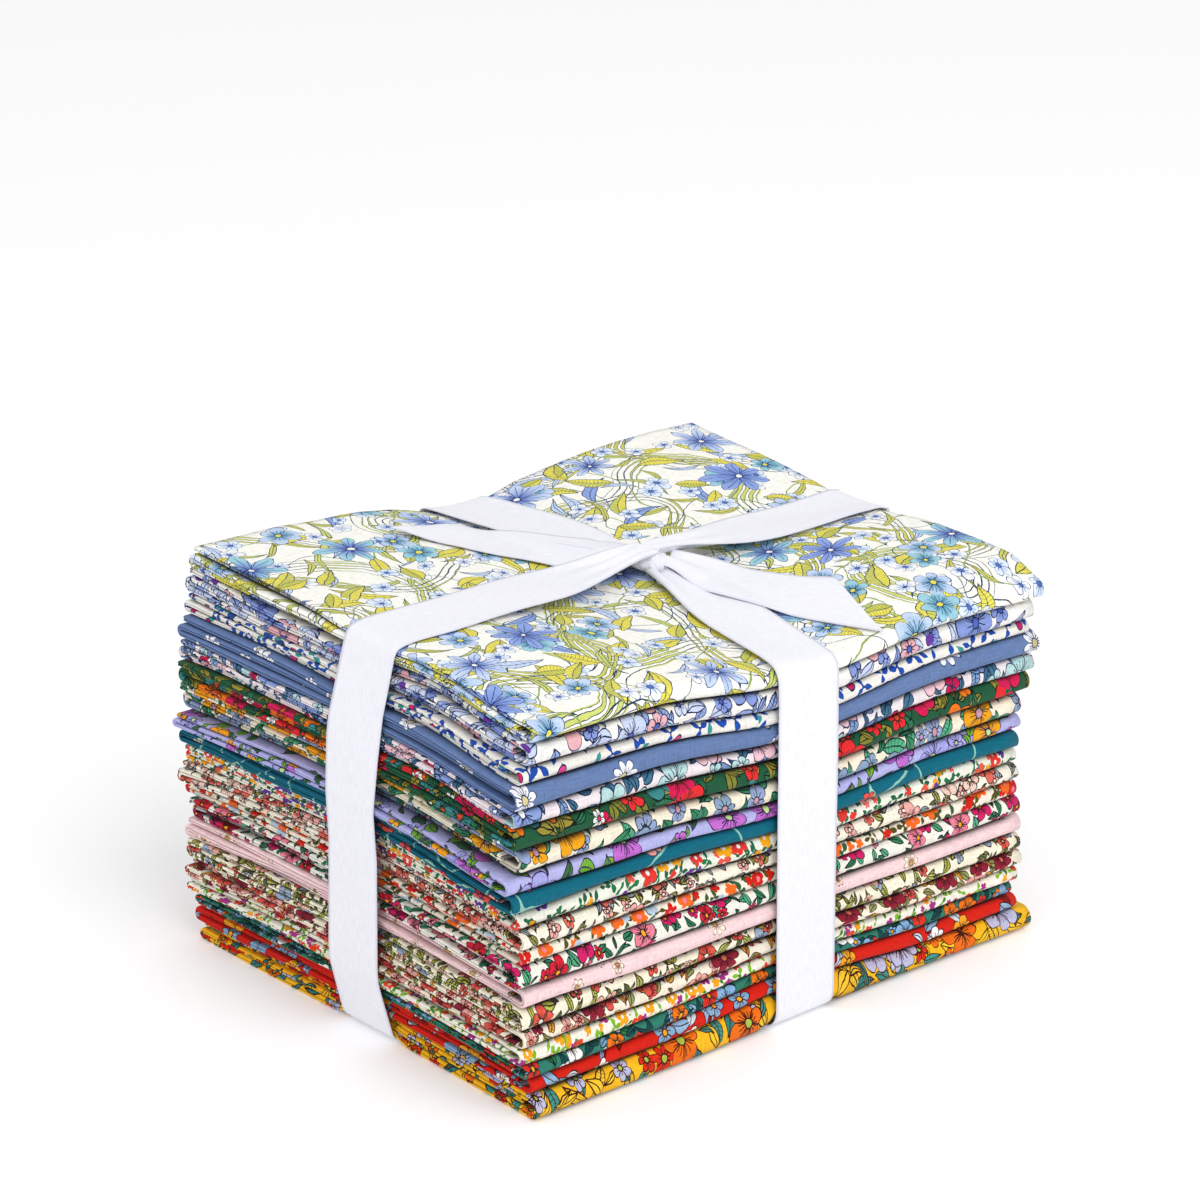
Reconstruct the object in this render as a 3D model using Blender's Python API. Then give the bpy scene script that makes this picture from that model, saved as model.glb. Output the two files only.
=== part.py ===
"""Fat quarter bundle: twenty folded fat quarters, stacked and tied crosswise with one ribbon.

Each fat quarter is a 22 by 18 inch cloth folded in thirds twice. The first fold lays three
layers flat on each other. The second rolls that strip into three passes: the top pass turns
down at the front into the bottom pass, which turns up at the back into the middle pass,
tucked in between. Lengths are in metres, +X runs along the long side of the stack, the
fronts of the folds face -Y and the folded edges of the layers face -X.
"""
import math
from typing import NamedTuple

import bmesh
import bpy
import numpy as np
from mathutils import Matrix, Vector

INCH = 0.0254
FOLDED_X = 22.0 * INCH / 3.0
FOLDED_Y = 18.0 * INCH / 3.0
HALF_X = FOLDED_X / 2.0
HALF_Y = FOLDED_Y / 2.0

# Height of the tied stack above the surface at its four corners.
HEIGHT_FRONT_LEFT = 0.1175
HEIGHT_BACK_LEFT = 0.1222
HEIGHT_FRONT_RIGHT = 0.1095
HEIGHT_BACK_RIGHT = 0.1150
BACK_LEFT_SAG = 0.025

# Gaps between neighbouring fat quarters, and between the passes of one.
CLOTH_GAP = 0.0004
PASS_GAP = 0.0004
RAW_EDGE_SETBACK = 0.0025
TUCK_SETBACK = 0.0050
EDGE_ROUNDING = 0.0008
EDGE_THICKNESS = 0.4
FRONT_TURN_STEPS = 5
BACK_TURN_STEPS = 3

# The ribbon: a band along X and a band along Y, each right round the stack.
RIBBON_WIDTH = 0.022
RIBBON_THICK = 0.0010
BAND_X_CENTRE_Y = -0.004
BAND_Y_CENTRE_X = 0.001
BAND_X_CLEAR = 0.00045
BAND_Y_CLEAR = 0.00055
BAND_PRESS_HALF = 0.012
BAND_PRESS_REACH = 0.049
CHANNEL_DEPTH = RIBBON_THICK + BAND_Y_CLEAR
CHANNEL_SLOPE = 0.002
BAND_TURN_STEP = math.radians(24.0)
BAND_POINT_SPACING = 0.018
BAND_LEAST_SPACING = 0.0002
STRAIGHT_TOLERANCE = 1e-12
LINE_TOLERANCE = 1e-6
GATHERED_WIDTH = 0.010
GATHER_REACH = 0.038

# How deep the bands press the stack's top in, at its edges and in the middle.
PRESS_LEFT = 0.0
PRESS_RIGHT = 0.0015
PRESS_FRONT = 0.0045
PRESS_BACK = 0.0076
PRESS_MIDDLE = 0.0028
BAND_LIFT_FRONT = 0.0035
# Towards the back the press spreads wider and its middle moves to the right.
PRESS_BACK_WIDER = 0.024
PRESS_BACK_ASIDE = 0.005

# The front quarters of the top puff up beside the band, and the left side swells half way up.
HUMP_LEFT = 0.0027
HUMP_RIGHT = 0.0044
LEFT_SWELL = 0.024

ON_TOP_MARGIN = 0.003
BAND_CROSSING_MERGE = 0.0003

KNOT_CENTRE = (0.0075, -0.0035)
KNOT_HALF_SIZE = (0.0100, 0.0085, 0.0042)
KNOT_RINGS = 8
KNOT_SIDES = 14

# How the free ends come down from the knot, pass over the bands and rest on the cloth.
TAIL_STEPS = 8
TAIL_CLEAR = 0.0008
TAIL_DESCENT = 0.022
TAIL_SPREAD_RATE = 1.6
TAIL_OVER_BAND = 0.0016
TAIL_STEP_END = 0.016
TAIL_STEP_LENGTH = 0.003


class Fold(NamedTuple):
    """One fat quarter: its share of the height, how far it sticks out in mm, and its colour."""
    share: float
    left: float
    right: float
    front: float
    back: float
    colour: tuple


# From the top of the stack down.
FOLDS = [
    Fold(1.03, 2.5, -1.2, 0.6, 0.0, (0.80, 0.82, 0.70)),
    Fold(1.14, 3.0, -3.3, 0.2, 1.5, (0.72, 0.72, 0.82)),
    Fold(0.83, 4.7, -4.8, -0.3, 1.0, (0.72, 0.78, 0.86)),
    Fold(1.11, 6.7, -1.8, 0.5, 0.5, (0.16, 0.25, 0.42)),
    Fold(0.94, 8.5, -2.9, 0.0, -0.5, (0.55, 0.55, 0.62)),
    Fold(1.05, 8.9, -4.6, 0.6, -1.0, (0.05, 0.20, 0.10)),
    Fold(1.34, 7.5, -6.8, 0.3, 0.0, (0.66, 0.68, 0.52)),
    Fold(0.82, 10.5, -7.3, -0.2, -1.5, (0.50, 0.48, 0.75)),
    Fold(0.92, 8.7, -8.3, 0.4, 0.5, (0.01, 0.22, 0.28)),
    Fold(0.98, 7.3, -8.1, -0.4, -1.0, (0.62, 0.72, 0.62)),
    Fold(1.01, 6.7, -7.2, 0.0, 1.0, (0.74, 0.66, 0.56)),
    Fold(0.82, 5.9, -8.2, -0.3, 1.5, (0.72, 0.62, 0.50)),
    Fold(1.14, 7.0, -6.6, 0.4, -1.5, (0.74, 0.55, 0.58)),
    Fold(1.11, 6.5, -5.9, 0.5, 0.5, (0.80, 0.58, 0.58)),
    Fold(1.07, 5.9, -5.8, -0.2, 0.5, (0.74, 0.68, 0.48)),
    Fold(0.93, 6.7, -5.4, 0.1, 0.0, (0.72, 0.62, 0.52)),
    Fold(0.82, 6.9, -6.2, -0.4, -0.5, (0.70, 0.74, 0.50)),
    Fold(0.73, 5.3, -6.8, -0.6, -2.0, (0.20, 0.45, 0.42)),
    Fold(0.90, 1.8, -5.7, -0.2, 0.5, (0.60, 0.03, 0.02)),
    Fold(1.35, -0.9, -1.7, 0.9, -1.0, (0.72, 0.40, 0.05)),
]


class Tail(NamedTuple):
    """One free end of the ribbon: where it leaves the knot and how far its two edges run."""
    start: tuple
    heading: float
    left_run: float
    right_run: float


TAILS = [
    Tail((0.0055, 0.0005), math.radians(122.7), 0.0700, 0.0560),
    Tail((0.0114, -0.0065), math.radians(-65.5), 0.0470, 0.0705),
]

RIBBON_WHITE = (0.86, 0.86, 0.90)
CLOTH_ROUGHNESS = 0.85
RIBBON_ROUGHNESS = 0.6


def fading(distance: np.ndarray, wider: np.ndarray = 0.0) -> np.ndarray:
    """Full under a band, then fading in a straight line to nothing at the press's reach."""
    reach = BAND_PRESS_REACH + wider
    return np.clip((reach - np.abs(distance)) / (reach - BAND_PRESS_HALF), 0.0, 1.0)


def rise(value: np.ndarray, start: float, end: float) -> np.ndarray:
    """An S-shaped rise from 0 at the start to 1 at the end."""
    t = np.clip((value - start) / (end - start), 0.0, 1.0)
    return t * t * (3.0 - 2.0 * t)


def hump(x: np.ndarray, y: np.ndarray) -> np.ndarray:
    """How far the two front quarters of the top puff up."""
    u = x / HALF_X
    v = y / HALF_Y
    left = HUMP_LEFT * rise(v, -0.9, -0.5) * rise(v, 0.45, -0.45) * rise(u, -0.25, -0.75)
    right = HUMP_RIGHT * rise(v, -1.02, -0.82) * rise(v, 0.1, -0.45) * rise(u, 0.25, 0.75)
    return left + right


def three_point(value: np.ndarray, low: float, middle: float, high: float) -> np.ndarray:
    """The value low at -1, middle at 0 and high at 1, straight in between and beyond."""
    return np.where(value < 0.0, middle + (middle - low) * value, middle + (high - middle) * value)


def top_height(x: np.ndarray, y: np.ndarray) -> np.ndarray:
    """Height of the cloth's top: a slanting plane through the corners, pressed by the bands."""
    u = x / HALF_X
    v = y / HALF_Y
    left = HEIGHT_FRONT_LEFT * (1 - v) + HEIGHT_BACK_LEFT * (1 + v)
    right = HEIGHT_FRONT_RIGHT * (1 - v) + HEIGHT_BACK_RIGHT * (1 + v)
    plane = (left * (1 - u) + right * (1 + u)) / 4.0
    along_x = three_point(u, PRESS_LEFT, PRESS_MIDDLE, PRESS_RIGHT) * fading(y - BAND_X_CENTRE_Y)
    back = np.clip(0.5 + 0.5 * v, 0.0, 1.0)
    along_y = three_point(v, PRESS_FRONT, PRESS_MIDDLE, PRESS_BACK)
    along_y = along_y * fading(x - BAND_Y_CENTRE_X - PRESS_BACK_ASIDE * back, PRESS_BACK_WIDER * back)
    return plane + hump(x, y) - (along_x + along_y - along_x * along_y / PRESS_MIDDLE)


def level(share_below: float, x: np.ndarray, y: np.ndarray) -> np.ndarray:
    """Height of the face between two fat quarters, from the share of the stack below it."""
    lift = BAND_LIFT_FRONT * fading(x - BAND_Y_CENTRE_X) * np.maximum(-y / HALF_Y, 0.0)
    u = x / HALF_X
    v = y / HALF_Y
    swell = LEFT_SWELL * rise(u, 0.0, -1.0) * np.clip(1.0 - v * v, 0.0, 1.0)
    sag = BACK_LEFT_SAG * (1.0 - u) * (1.0 + v) / 4.0 - swell
    share = share_below - 4.0 * share_below * (1.0 - share_below) * sag
    puff = hump(x, y)
    return share * (top_height(x, y) - puff) + puff * share_below ** 3 + lift * (1.0 - share_below) ** 2


def channel(x: np.ndarray, y: np.ndarray) -> np.ndarray:
    """How far the underside is pushed up by the bands that pass below the stack."""
    across = [np.abs(x - BAND_Y_CENTRE_X), np.abs(y - BAND_X_CENTRE_Y)]
    ramps = [np.clip((BAND_PRESS_HALF + CHANNEL_SLOPE - d) / CHANNEL_SLOPE, 0.0, 1.0) for d in across]
    return CHANNEL_DEPTH * np.maximum(ramps[0], ramps[1])


def steps_between(start: float, end: float, count: int) -> np.ndarray:
    """The inner points of a turn from one angle to another in this many steps."""
    return np.linspace(start, end, count + 1)[1:-1]


def fold_section(fold: Fold, thick: float, lines: list) -> tuple:
    """Middle line of the rolled strip in the Y-Z plane, its outward normals and its thickness."""
    strip = (thick - 2.0 * PASS_GAP) / 3.0
    front = -HALF_Y - fold.front / 1000.0
    back = HALF_Y + fold.back / 1000.0
    front_radius = (thick - strip) / 2.0
    back_radius = (strip + PASS_GAP) / 2.0
    front_centre = np.array([front + thick / 2.0, thick / 2.0])
    back_centre = np.array([back - back_radius - strip / 2.0, strip / 2.0 + back_radius])
    forward = sorted(lines, reverse=True)

    top = [back - RAW_EDGE_SETBACK, *forward, front_centre[0]]
    bottom = [front_centre[0], *reversed(forward), back_centre[0]]
    middle = [back_centre[0], *forward, front + strip + TUCK_SETBACK]
    front_turn = steps_between(math.pi / 2, 3 * math.pi / 2, FRONT_TURN_STEPS)
    back_turn = steps_between(-math.pi / 2, math.pi / 2, BACK_TURN_STEPS)

    points = [[y, thick - strip / 2.0] for y in top]
    points += [front_centre + front_radius * np.array([math.cos(a), math.sin(a)]) for a in front_turn]
    points += [[y, strip / 2.0] for y in bottom]
    points += [back_centre + back_radius * np.array([math.cos(a), math.sin(a)]) for a in back_turn]
    points += [[y, strip / 2.0 + 2.0 * back_radius] for y in middle]
    normals = [[0.0, 1.0]] * len(top) + [[math.cos(a), math.sin(a)] for a in front_turn]
    normals += [[0.0, -1.0]] * len(bottom) + [[math.cos(a), math.sin(a)] for a in back_turn]
    normals += [[0.0, 1.0]] * len(middle)
    return np.array(points), np.array(normals), strip


def band_lines(half: float, centre: float) -> list:
    """The two lines at this distance each side of a band's centre."""
    return [centre - half, centre + half]


def fold_grids(index: int) -> tuple:
    """Outer and inner faces of one fat quarter's strip, as grids of stations by path points."""
    fold = FOLDS[index]
    total = sum(row.share for row in FOLDS)
    above = 1.0 - sum(row.share for row in FOLDS[:index]) / total
    below = above - fold.share / total
    is_bottom = index == len(FOLDS) - 1
    mean_height = (HEIGHT_FRONT_LEFT + HEIGHT_BACK_LEFT + HEIGHT_FRONT_RIGHT + HEIGHT_BACK_RIGHT) / 4.0
    thick = (above - below) * mean_height - CLOTH_GAP

    y_lines = band_lines(BAND_PRESS_HALF, BAND_X_CENTRE_Y)
    x_lines = band_lines(BAND_PRESS_HALF, BAND_Y_CENTRE_X)
    x_lines += band_lines(BAND_PRESS_REACH, BAND_Y_CENTRE_X)
    if is_bottom:
        y_lines += band_lines(BAND_PRESS_HALF + CHANNEL_SLOPE, BAND_X_CENTRE_Y)
        x_lines += band_lines(BAND_PRESS_HALF + CHANNEL_SLOPE, BAND_Y_CENTRE_X)
    left = -HALF_X - fold.left / 1000.0
    right = HALF_X + fold.right / 1000.0
    stations = np.array([left, left + EDGE_ROUNDING, *sorted(x_lines), right])
    fullness = np.ones(len(stations))
    fullness[0] = EDGE_THICKNESS

    middle, normals, strip = fold_section(fold, thick, y_lines)
    grids = []
    for side in (0.5, -0.5):
        offset = side * strip * fullness[:, None, None] * normals[None]
        section = middle[None] + offset
        x = np.broadcast_to(stations[:, None], section.shape[:2])
        y = section[..., 0]
        low = level(below, x, y) + CLOTH_GAP / 2.0
        if is_bottom:
            low = level(below, x, y) + channel(x, y)
        high = level(above, x, y) - CLOTH_GAP / 2.0
        grids.append(np.stack([x, y, low + (high - low) * section[..., 1] / thick], axis=-1))
    return grids[0], grids[1]


def quad_rows(a: np.ndarray, b: np.ndarray, points: np.ndarray) -> list:
    """Triangles between two rows of vertex numbers, cut along the same diagonal seen from above."""
    faces = []
    for j in range(len(a) - 1):
        step_across = points[b[j]] - points[a[j]]
        step_along = points[a[j + 1]] - points[a[j]]
        if step_across[0] * step_along[1] > 0.0:
            faces += [(a[j], a[j + 1], b[j + 1]), (a[j], b[j + 1], b[j])]
        else:
            faces += [(a[j], a[j + 1], b[j]), (a[j + 1], b[j + 1], b[j])]
    return faces


def strip_mesh(name: str, outer: np.ndarray, inner: np.ndarray, is_ring: bool) -> bpy.types.Mesh:
    """A closed strip between an outer and an inner grid of stations by path points."""
    rows, columns = outer.shape[:2]
    points = np.concatenate([outer.reshape(-1, 3), inner.reshape(-1, 3)])
    upper = np.arange(rows * columns).reshape(rows, columns)
    lower = upper + rows * columns
    if is_ring:
        upper = np.concatenate([upper, upper[:, :1]], axis=1)
        lower = np.concatenate([lower, lower[:, :1]], axis=1)
    faces = quad_rows(lower[0], upper[0], points) + quad_rows(lower[-1], upper[-1], points)
    for k in range(rows - 1):
        faces += quad_rows(upper[k], upper[k + 1], points) + quad_rows(lower[k], lower[k + 1], points)
    if not is_ring:
        faces += quad_rows(lower[:, 0], upper[:, 0], points)
        faces += quad_rows(lower[:, -1], upper[:, -1], points)
    mesh = bpy.data.meshes.new(name)
    mesh.from_pydata(points.tolist(), [], [[int(v) for v in face] for face in faces])
    body = bmesh.new()
    body.from_mesh(mesh)
    bmesh.ops.recalc_face_normals(body, faces=body.faces)
    body.to_mesh(mesh)
    body.free()
    return mesh


def hull_of(points: np.ndarray) -> np.ndarray:
    """Convex outline of points in a plane, anticlockwise."""
    ordered = points[np.lexsort((points[:, 1], points[:, 0]))]

    def chain(source: np.ndarray) -> list:
        """One half of the outline."""
        kept = []
        for point in source:
            while len(kept) > 1:
                a = kept[-1] - kept[-2]
                b = point - kept[-1]
                if a[0] * b[1] - a[1] * b[0] > STRAIGHT_TOLERANCE:
                    break
                kept.pop()
            kept.append(point)
        return kept[:-1]

    return np.array(chain(ordered) + chain(ordered[::-1]))


def round_outline(hull: np.ndarray, distance: float) -> tuple:
    """Outline at a distance outside a hull, round its corners, with its outward normals."""
    edges = np.roll(hull, -1, axis=0) - hull
    angles = np.unwrap(np.arctan2(-edges[:, 0], edges[:, 1]))
    points, normals = [], []
    for k in range(len(hull)):
        before = angles[k - 1] if k else angles[-1] - 2.0 * math.pi
        steps = max(1, math.ceil((angles[k] - before) / BAND_TURN_STEP))
        for angle in np.linspace(before, angles[k], steps + 1):
            normal = np.array([math.cos(angle), math.sin(angle)])
            point = hull[k] + distance * normal
            if points and np.linalg.norm(point - points[-1]) < BAND_LEAST_SPACING:
                continue
            points.append(point)
            normals.append(normal)
    return np.array(points), np.array(normals)


def evenly_filled(points: np.ndarray, normals: np.ndarray, spacing: float) -> tuple:
    """The same closed outline with points added along its long straight stretches."""
    filled, filled_normals = [], []
    for k in range(len(points)):
        after = (k + 1) % len(points)
        count = max(1, math.ceil(np.linalg.norm(points[after] - points[k]) / spacing))
        for step in range(count):
            share = step / count
            filled.append(points[k] * (1 - share) + points[after] * share)
            normal = normals[k] * (1 - share) + normals[after] * share
            filled_normals.append(normal / np.linalg.norm(normal))
    return np.array(filled), np.array(filled_normals)


def cloth_points_under(band_axis: int) -> np.ndarray:
    """Cloth points below a band, in the plane that the band runs round in, as (along, up)."""
    across_centre = BAND_X_CENTRE_Y if band_axis == 0 else BAND_Y_CENTRE_X
    found = []
    for index in range(len(FOLDS)):
        for grid in fold_grids(index):
            flat = grid.reshape(-1, 3)
            near = np.abs(flat[:, 1 - band_axis] - across_centre) < BAND_PRESS_HALF + LINE_TOLERANCE
            found.append(flat[near][:, [band_axis, 2]])
    return np.concatenate(found)


def band_grids(band_axis: int, clear: float, raised: list) -> tuple:
    """Outer and inner faces of one band round the stack, gathered towards the knot on top."""
    hull = hull_of(np.concatenate([cloth_points_under(band_axis), *raised]))
    outline, normals = round_outline(hull, clear + RIBBON_THICK / 2.0)
    outline, normals = evenly_filled(outline, normals, BAND_POINT_SPACING)
    on_top = outline[:, 1] > top_middle() - ON_TOP_MARGIN
    away = np.clip(np.abs(outline[:, 0] - KNOT_CENTRE[band_axis]) / GATHER_REACH, 0.0, 1.0)
    gathered = GATHERED_WIDTH + (RIBBON_WIDTH - GATHERED_WIDTH) * away
    width = np.where(on_top, gathered, RIBBON_WIDTH)
    centre = BAND_X_CENTRE_Y if band_axis == 0 else BAND_Y_CENTRE_X
    grids = []
    for side in (0.5, -0.5):
        face = outline + side * RIBBON_THICK * normals
        rows = []
        for edge in (-0.5, 0.5):
            across = centre + edge * width
            plan = (face[:, 0], across) if band_axis == 0 else (across, face[:, 0])
            rows.append(np.stack([*plan, face[:, 1]], axis=1))
        grids.append(np.array(rows))
    return grids[0], grids[1]


def top_middle() -> float:
    """Height of the cloth where the bands cross."""
    return float(top_height(np.array(BAND_Y_CENTRE_X), np.array(BAND_X_CENTRE_Y)))


def over_bands(x: np.ndarray, y: np.ndarray) -> np.ndarray:
    """How much higher a free end lies where it passes over a band."""
    distance = np.minimum(np.abs(x - BAND_Y_CENTRE_X), np.abs(y - BAND_X_CENTRE_Y))
    return TAIL_OVER_BAND * np.clip((TAIL_STEP_END - distance) / TAIL_STEP_LENGTH, 0.0, 1.0)


def tail_grids(tail: Tail) -> tuple:
    """Upper and lower faces of one free end, from inside the knot down onto the cloth."""
    forward = np.array([math.cos(tail.heading), math.sin(tail.heading)])
    aside = np.array([-forward[1], forward[0]])
    share = np.linspace(0.0, 1.0, TAIL_STEPS + 1)
    gathered = GATHERED_WIDTH / RIBBON_WIDTH
    spread = np.clip(gathered + share * TAIL_SPREAD_RATE, 0.0, 1.0) * RIBBON_WIDTH / 2.0
    upper, lower = [], []
    for sign, run in ((1.0, tail.left_run), (-1.0, tail.right_run)):
        away = share * run
        place = np.array(tail.start) + np.outer(away, forward) + np.outer(sign * spread, aside)
        x, y = place[:, 0], place[:, 1]
        from_knot = KNOT_HALF_SIZE[2] * np.clip(1.0 - away / TAIL_DESCENT, 0.0, 1.0)
        low = top_height(x, y) + TAIL_CLEAR + np.maximum(over_bands(x, y), from_knot)
        lower.append(np.stack([x, y, low], axis=1))
        upper.append(np.stack([x, y, low + RIBBON_THICK], axis=1))
    return np.array(upper), np.array(lower)


def knot_mesh() -> bpy.types.Mesh:
    """The tight knot on top, as a flattened ball."""
    x, y = KNOT_CENTRE
    height = float(top_height(np.array(x), np.array(y))) + TAIL_CLEAR + KNOT_HALF_SIZE[2]
    mesh = bpy.data.meshes.new("knot")
    ball = bmesh.new()
    bmesh.ops.create_uvsphere(ball, u_segments=KNOT_SIDES, v_segments=KNOT_RINGS, radius=1.0)
    bmesh.ops.scale(ball, vec=Vector(KNOT_HALF_SIZE), verts=ball.verts)
    bmesh.ops.translate(ball, vec=Vector((x, y, height)), verts=ball.verts)
    bmesh.ops.triangulate(ball, faces=ball.faces)
    ball.to_mesh(mesh)
    ball.free()
    return mesh


def new_object(name: str, mesh: bpy.types.Mesh) -> bpy.types.Object:
    """An object with this mesh, in the scene."""
    piece = bpy.data.objects.new(name, mesh)
    bpy.context.scene.collection.objects.link(piece)
    return piece


def paint(piece: bpy.types.Object, colour: tuple, roughness: float) -> None:
    """Give a piece its own plain cloth material."""
    material = bpy.data.materials.new(piece.name)
    material.use_nodes = True
    shader = material.node_tree.nodes["Principled BSDF"]
    shader.inputs["Base Color"].default_value = (*colour, 1.0)
    shader.inputs["Roughness"].default_value = roughness
    shader.inputs["Metallic"].default_value = 0.0
    piece.data.materials.append(material)


def add_fat_quarters() -> list:
    """The twenty folded cloths, from the top down."""
    pieces = []
    for index, fold in enumerate(FOLDS):
        name = f"fat_quarter_{index + 1:02d}"
        piece = new_object(name, strip_mesh(name, *fold_grids(index), False))
        paint(piece, fold.colour, CLOTH_ROUGHNESS)
        pieces.append(piece)
    return pieces


def add_ribbon() -> list:
    """The ribbon as one body: its two bands, the knot and the two free ends, and their helpers."""
    ribbon = new_object("ribbon", strip_mesh("ribbon", *band_grids(0, BAND_X_CLEAR, []), True))
    paint(ribbon, RIBBON_WHITE, RIBBON_ROUGHNESS)
    raised_height = top_middle() + RIBBON_THICK + BAND_X_CLEAR - BAND_Y_CLEAR - BAND_CROSSING_MERGE
    raised = np.array([[y, raised_height] for y in band_lines(GATHERED_WIDTH, BAND_X_CENTRE_Y)])
    second = strip_mesh("band_y", *band_grids(1, BAND_Y_CLEAR, [raised]), True)
    tails = [strip_mesh(f"tail_{n}", *tail_grids(tail), False) for n, tail in enumerate(TAILS)]
    helpers = [new_object(mesh.name, mesh) for mesh in (second, knot_mesh(), *tails)]
    for helper in helpers:
        helper.hide_render = True
        helper.display_type = "WIRE"
        union = ribbon.modifiers.new(helper.name, "BOOLEAN")
        union.operation = "UNION"
        union.solver = "EXACT"
        union.object = helper
    return [ribbon, *helpers]


def stand_on_origin(pieces: list) -> None:
    """Move every mesh so that the bundle's box stands centred on the origin."""
    points = np.concatenate([np.array([v.co for v in piece.data.vertices]) for piece in pieces])
    low, high = points.min(axis=0), points.max(axis=0)
    shift = Matrix.Translation((-(low[0] + high[0]) / 2.0, -(low[1] + high[1]) / 2.0, -low[2]))
    for piece in pieces:
        piece.data.transform(shift)


def main() -> None:
    """Build the bundle."""
    for old in list(bpy.data.objects):
        bpy.data.objects.remove(old, do_unlink=True)
    pieces = add_fat_quarters() + add_ribbon()
    stand_on_origin(pieces)


main()
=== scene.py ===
"""Looks of the fat quarter bundle: twenty folded prints, stacked and tied crosswise with one ribbon.

Every cloth is a whole 22 by 18 inch sheet, folded in thirds twice on the same surfaces as its solid.
The prints are generic florals made of scattered leaves, blossoms and stems in shader nodes.
"""

import logging
import math
from dataclasses import dataclass
from enum import Enum
from typing import Callable, Optional, Union

import bmesh
import bpy
import numpy as np
from mathutils import Matrix, Vector

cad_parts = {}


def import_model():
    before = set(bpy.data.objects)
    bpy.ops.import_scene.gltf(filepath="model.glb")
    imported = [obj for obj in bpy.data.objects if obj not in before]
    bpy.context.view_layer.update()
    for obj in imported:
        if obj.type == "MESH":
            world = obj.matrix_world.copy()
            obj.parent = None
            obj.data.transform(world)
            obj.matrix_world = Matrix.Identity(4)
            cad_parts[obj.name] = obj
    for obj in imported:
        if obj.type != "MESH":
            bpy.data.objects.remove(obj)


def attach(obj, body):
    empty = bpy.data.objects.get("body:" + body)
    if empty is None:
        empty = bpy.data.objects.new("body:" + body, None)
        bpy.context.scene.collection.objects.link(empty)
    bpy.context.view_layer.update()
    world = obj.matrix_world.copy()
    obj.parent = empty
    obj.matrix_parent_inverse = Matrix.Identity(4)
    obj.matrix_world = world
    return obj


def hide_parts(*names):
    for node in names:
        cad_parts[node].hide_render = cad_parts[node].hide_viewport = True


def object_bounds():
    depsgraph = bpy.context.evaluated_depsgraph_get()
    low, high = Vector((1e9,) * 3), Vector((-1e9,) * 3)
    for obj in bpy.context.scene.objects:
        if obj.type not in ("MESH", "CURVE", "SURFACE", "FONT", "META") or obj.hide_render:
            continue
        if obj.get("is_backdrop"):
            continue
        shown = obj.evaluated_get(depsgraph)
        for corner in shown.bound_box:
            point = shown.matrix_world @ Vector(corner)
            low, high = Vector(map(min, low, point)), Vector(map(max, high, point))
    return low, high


LOG = logging.getLogger("bundle")

MM = 0.001
INCH = 0.0254
CLOTH_LONG = 22.0 * INCH
CLOTH_SHORT = 18.0 * INCH
HALF_X = CLOTH_LONG / 6.0
HALF_Y = CLOTH_SHORT / 6.0
CLOTH_COUNT = 20
# The solids were drawn about the stack's middle and then moved by this much.
DRAWN_SHIFT = np.array([0.00585, -0.000163, 0.0])

# A colour as the eye reads it on a screen, as six hex digits.
Colour = str
# The bright light washes colours out, so they are printed deeper by this power.
DEEPER = 1.12


def seen(colour: Colour) -> tuple:
    """The light that the shader needs for a colour as the eye reads it."""
    parts = (int(colour[i:i + 2], 16) / 255.0 for i in (0, 2, 4))
    return (*(((part ** DEEPER + 0.055) / 1.055) ** 2.4 for part in parts), 1.0)


@dataclass(frozen=True)
class Ripple:
    """Smooth unevenness of about unit size: a few plane waves with directions from one seed."""
    seed: int
    wavelength: float
    waves: int = 5

    def __call__(self, a: np.ndarray, b: Union[np.ndarray, float] = 0.0) -> np.ndarray:
        """The height of the ripple at points of a plane, or along a line."""
        draw = np.random.default_rng(self.seed)
        turn = draw.uniform(0.0, 2.0 * math.pi, self.waves)
        wave = 2.0 * math.pi / (self.wavelength * draw.uniform(0.6, 1.7, self.waves))
        phase = draw.uniform(0.0, 2.0 * math.pi, self.waves)
        a, b = np.broadcast_arrays(np.asarray(a, float), np.asarray(b, float))
        along = a[..., None] * np.cos(turn) + b[..., None] * np.sin(turn)
        return np.sin(along * wave + phase).sum(-1) / math.sqrt(self.waves / 2.0)


def smooth(value: np.ndarray) -> np.ndarray:
    """An S-shaped rise from 0 to 1 as the value goes from 0 to 1."""
    t = np.clip(value, 0.0, 1.0)
    return t * t * (3.0 - 2.0 * t)


def rise(value: np.ndarray, start: float, end: float) -> np.ndarray:
    """An S-shaped rise from 0 to 1 as the value goes from start to end."""
    return smooth((value - start) / (end - start))


def stations(start: float, end: float, count: int, band: float, half: float) -> np.ndarray:
    """Stations from start to end, closer together towards both ends and across a band.

    Args:
        count: How many there are apart from those across the band.
        band: Middle of the band, in the same units as start and end.
        half: Half of the stretch that gets close stations.
    """
    t = np.linspace(0.0, 1.0, count)
    base = start + (end - start) * (t - 0.4 * np.sin(2.0 * math.pi * t) / (2.0 * math.pi))
    inner = base[np.abs(base - band) > half * 1.1]
    close = band + half * np.linspace(-1.0, 1.0, 2 + count // 3)
    order = np.sort(np.concatenate([inner, close]))
    return order if end > start else order[::-1]


@dataclass(frozen=True)
class Fold:
    """One fat quarter: its share of the height and how far it sticks out on each side, in mm."""
    share: float
    left: float
    right: float
    front: float
    back: float


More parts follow.
